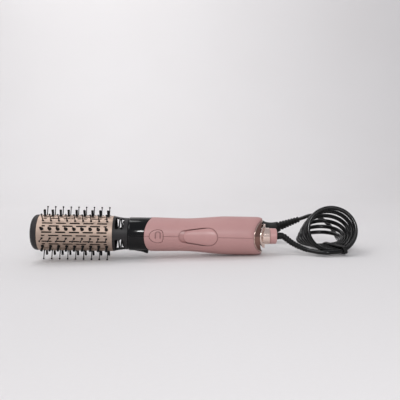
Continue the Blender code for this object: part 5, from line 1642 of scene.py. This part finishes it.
def make_button():
    outline = grown(button_outline(), -JOINT_RELIEF)
    rows = []
    for share, rise in BUTTON_DISH:
        rows.append(laid_ring(outline, BUTTON_MIDDLE, share, lambda x: button_top(x) + rise))
    bm = skin(rows, ends=True)
    return file_piece("turn_button", bm, CONTROL_PINK, "button", ["rotation_button"],
                      sharp=50.0)


button = make_button()
print("button:", len(button.data.polygons), "faces")

# %% The button's arch
ARCH_WIDTH = 6.6
ARCH_HEIGHT = 10.0
ARCH_RISE = 1.25
ARCH_LEG_STEPS = 8
ARCH_TURN_STEPS = 24
ARCH_BEAD_STEPS = 12
BEAD_WIDTH = ARCH_RISE * 0.6
BEAD_HEIGHT = ARCH_RISE * 0.95
BEAD_SINK = 0.55


def arch_path():
    """An inverted U in (distance, height) from the button's middle."""
    half = ARCH_WIDTH / 2
    leg = (ARCH_HEIGHT - half) / 2
    path = [Vector((-half, height)) for height in stepped(-leg, leg, ARCH_LEG_STEPS)[:-1]]
    for angle in stepped(0.0, math.pi, ARCH_TURN_STEPS):
        path.append(Vector((-half * math.cos(angle), leg + half * math.sin(angle))))
    return path + [Vector((half, height)) for height in stepped(leg, -leg, ARCH_LEG_STEPS)[1:]]


def make_arch():
    """Raised arch on the button: a half-round bead that is slimmer at both ends."""
    path = arch_path()
    last = len(path) - 1
    rows = []
    for index, point in enumerate(path):
        line = (path[min(index + 1, last)] - path[max(index - 1, 0)]).normalized()
        across = Vector((line.y, -line.x))
        slim = min(1.0, 0.35 + min(index, last - index) * 0.33)
        row = []
        for angle in stepped(0.0, math.pi, ARCH_BEAD_STEPS):
            spot = point + across * BEAD_WIDTH * slim * math.cos(angle)
            x = BUTTON_MIDDLE + spot.x
            lift = BEAD_HEIGHT * math.sin(angle) * slim - BEAD_SINK
            row.append(laid(x, spot.y, button_top(x) + lift))
        rows.append(row)
    bm = skin(rows, ends=True)
    # The bead takes the darker pink, a painted shade for the shadows along its edges.
    return file_piece("button_arch", bm, ARCH_PINK_PAINTED_SHADE, "button", sharp=50.0)


arch = make_arch()
print("arch:", len(arch.data.polygons), "faces")

# %% Slider
SLIDER_PROUD = 1.2
SLIDER_CROWN = ((0.02, 1.0), (0.25, 0.99), (0.45, 0.96), (0.62, 0.9), (0.76, 0.8), (0.87, 0.66), (0.94, 0.48),
                (0.98, 0.28), (1.0, 0.0))
SLIDER_SKIRT = 2.4
SKIRT_THICKNESS = 1.1
SKIRT_SHARES = (1.0, 0.6, 0.3, 0.02)


def skirt_top(x):
    wall = min(handle_radius(x), handle_radius(x - SLIDER_TRAVEL)) - SHELL_WALL
    return wall - RUNNING_GAP - GAP


def drawn_ahead(outline, centre):
    """An outline whose part ahead of a centre is drawn out by the slider's travel."""
    reach = centre - min(point.x for point in outline)
    made = []
    for point in outline:
        share = max(0.0, (centre - point.x) / reach)
        made.append(Vector((point.x - SLIDER_TRAVEL * share, point.y)))
    return made


def make_slider():
    ahead = SLIDER_MIDDLE - SLIDER_CENTRES
    outline = drop_outline(ahead, SLIDER_SMALL_RADIUS, SLIDER_MIDDLE, SLIDER_LARGE_RADIUS)
    pad = grown(outline, -JOINT_RELIEF)
    centre = SLIDER_MIDDLE - SLIDER_CENTRES / 3
    skirt = grown(drawn_ahead(outline, centre), SLIDER_SKIRT)
    rows = []
    for share, rise in SLIDER_CROWN:
        rows.append(laid_ring(pad, centre, share, lambda x: handle_radius(x) + SLIDER_PROUD * rise))
    rows += [laid_ring(form, centre, 1.0, skirt_top) for form in (pad, skirt)]
    for share in SKIRT_SHARES:
        rows.append(laid_ring(skirt, centre, share, lambda x: skirt_top(x) - SKIRT_THICKNESS))
    bm = skin(rows, ends=True)
    return file_piece("thumb_slider", bm, CONTROL_PINK, "slider", ["mode_slider"],
                      sharp=50.0)


slider = make_slider()
print("slider:", len(slider.data.polygons), "faces")

# %% [markdown]
# ## The tail
# A plated ring lines the rear of the handle, where the fan draws air. Behind it stand a thin swept flange
# and a short neck, and a pink cap on the neck turns so that the flex never twists. The ring and the flange
# are swept outlines that follow a slant like that of the handle's rear edge, with soft corners that catch
# thin bright lines.

# %% Inlet ring
INLET_OUTER = REAR_RADIUS - LIP_DROP - LIP_WALL - GAP
INLET_WALL = 2.0
INLET_EDGE = HANDLE_REAR + 0.7
INLET_SWEEP = 6.2
INLET_DEPTH = 20.0
INLET_TAPER = 1.0
INLET_SOFT = 0.4
ROLL_RADIUS = 0.6
ROLL_STEPS = 10
TAIL_STEPS = 120


def inlet_outline(angle):
    edge = swept_edge(INLET_EDGE, INLET_SWEEP, REAR_RADIUS, REAR_RADIUS * math.cos(angle))
    start = INLET_EDGE - INLET_DEPTH
    inner = INLET_OUTER - INLET_WALL
    outline = [(start, INLET_OUTER), (rear_edge(angle), INLET_OUTER), (edge, INLET_OUTER - INLET_TAPER)]
    outline += [(edge, inner), (start, inner)]
    return soften(outline, INLET_SOFT)


def rolled_edge(angle):
    """Rolled edge of the ring, where it meets the handle's lip."""
    middle = Vector((rear_edge(angle) + ROLL_RADIUS * 1.2, INLET_OUTER))
    return circle(middle, RIGHT, ABOVE, ROLL_RADIUS, ROLL_STEPS)


def make_ring():
    roll = swept(rolled_edge, TAIL_STEPS)
    for face in roll.faces:
        face.material_index = 1
    bm = joined([swept(inlet_outline, TAIL_STEPS), roll])
    # The ring's body takes the darkened chrome, a painted shade for its reflections; the rolled edge keeps the
    # light chrome.
    return file_piece("plated_ring", bm, RING_CHROME_PAINTED_SHADE, "handle", ["inlet_ring"],
                      lining=ROSE_CHROME)


ring = make_ring()
print("inlet ring:", len(ring.data.polygons), "faces")

# %% Flange and neck
FLANGE_RADIUS = 17.0
FLANGE_TOP = HANDLE_REAR + 4.9
FLANGE_SWEEP = 7.9
FLANGE_THICKNESS = 2.2
FLANGE_SOFT = 0.7
NECK_RADIUS = 11.6
NECK_BORE = 7.5
NECK_LENGTH = 9.5
NECK_START = FLANGE_TOP - FLANGE_SWEEP / 2
NECK_END = NECK_START + NECK_LENGTH
HUB_START = INLET_EDGE - 22.0
TAIL_SPOKES = 4
SPOKE_WIDTH = 3.0
SPOKE_SOFT = 0.5


def flange_x(radius, angle):
    """Rear face of the swept flange."""
    return swept_edge(FLANGE_TOP, FLANGE_SWEEP, FLANGE_RADIUS, radius * math.cos(angle))


def tail_outline(angle):
    root = flange_x(NECK_RADIUS, angle)
    rim = flange_x(FLANGE_RADIUS, angle)
    outline = [(HUB_START, NECK_RADIUS), (root - FLANGE_THICKNESS, NECK_RADIUS)]
    outline += [(rim - FLANGE_THICKNESS, FLANGE_RADIUS), (rim, FLANGE_RADIUS), (root, NECK_RADIUS)]
    outline += [(NECK_END, NECK_RADIUS), (NECK_END, NECK_BORE), (HUB_START, NECK_BORE)]
    return soften(outline, FLANGE_SOFT)


def tail_spokes():
    """Bars that hold the neck in the inlet ring."""
    bm = bmesh.new()
    low = HUB_START + RUNNING_GAP
    outline = soft_box(low, low + SPOKE_WIDTH, -SPOKE_WIDTH / 2, SPOKE_WIDTH / 2, SPOKE_SOFT)
    for turn in round_angles(TAIL_SPOKES):
        across = at(0.0, 1.0, turn + math.pi / 2)
        rows = []
        for reach in ((NECK_RADIUS + NECK_BORE) / 2, INLET_OUTER - INLET_WALL - GAP):
            rows.append([at(point.x, reach, turn) + across * point.y for point in outline])
        skin(rows, ends=True, bm=bm)
    return bm


tail_drawing = joined([swept(tail_outline, TAIL_STEPS), tail_spokes()])
tail = file_piece("flange_and_neck", tail_drawing, ROSE_CHROME, "handle", ["tail_housing"])
print("flange and neck:", len(tail.data.polygons), "faces")

# %% Swivel cap
SWIVEL_RADIUS = 11.0
SWIVEL_START = NECK_END + GAP
SWIVEL_ROUND = 0.96
SWIVEL_BORE = 5.2
SWIVEL_FIT = NECK_BORE - GAP


def make_swivel():
    outline = [(NECK_START, SWIVEL_FIT), (SWIVEL_START, SWIVEL_FIT), (SWIVEL_START, SWIVEL_RADIUS)]
    outline += [(TAIL_END, SWIVEL_RADIUS), (TAIL_END, SWIVEL_BORE), (NECK_START, SWIVEL_BORE)]
    bm = turned(soften(outline, SWIVEL_ROUND, True, 5))
    return file_piece("turning_cap", bm, CAP_PINK, "swivel", ["swivel_cap"])


swivel = make_swivel()
print("swivel cap:", len(swivel.data.polygons), "faces")

# %% [markdown]
# ## Pieces inside
# The heater, the motors, the fan and the control board stay as the frame has them, and so do the wheels and
# the tube in the barrel, the bush, the latch's pin and the filter. Only a glimpse of some of them shows,
# through a slot or when the head is pulled off. They still get true finishes, so that nothing looks
# unfinished.

# %% Finishes of the inner pieces
INNER_FINISHES = (
    (BRIGHT_STEEL, ("inlet_filter", "heater_coil", "fan_motor", "gear_motor", "drive_shaft", "latch_pin")),
    (MICA, ("heater_sleeve", "heater_frame")),
    (CIRCUIT_GREEN, ("control_board",)),
    (INNER_GREY, ("front_bulkhead", "rear_bulkhead")),
    (SATIN_BLACK, ("push_switch", "slide_switch", "fan_rotor", "front_carrier", "rear_carrier", "core_tube",
                   "bearing_bush")),
)
for finish, nodes in INNER_FINISHES:
    for node in nodes:
        inner = frame["nodes"][node]
        inner.data.materials.clear()
        inner.data.materials.append(finish)
print("inner pieces:", sum(len(nodes) for finish, nodes in INNER_FINISHES))
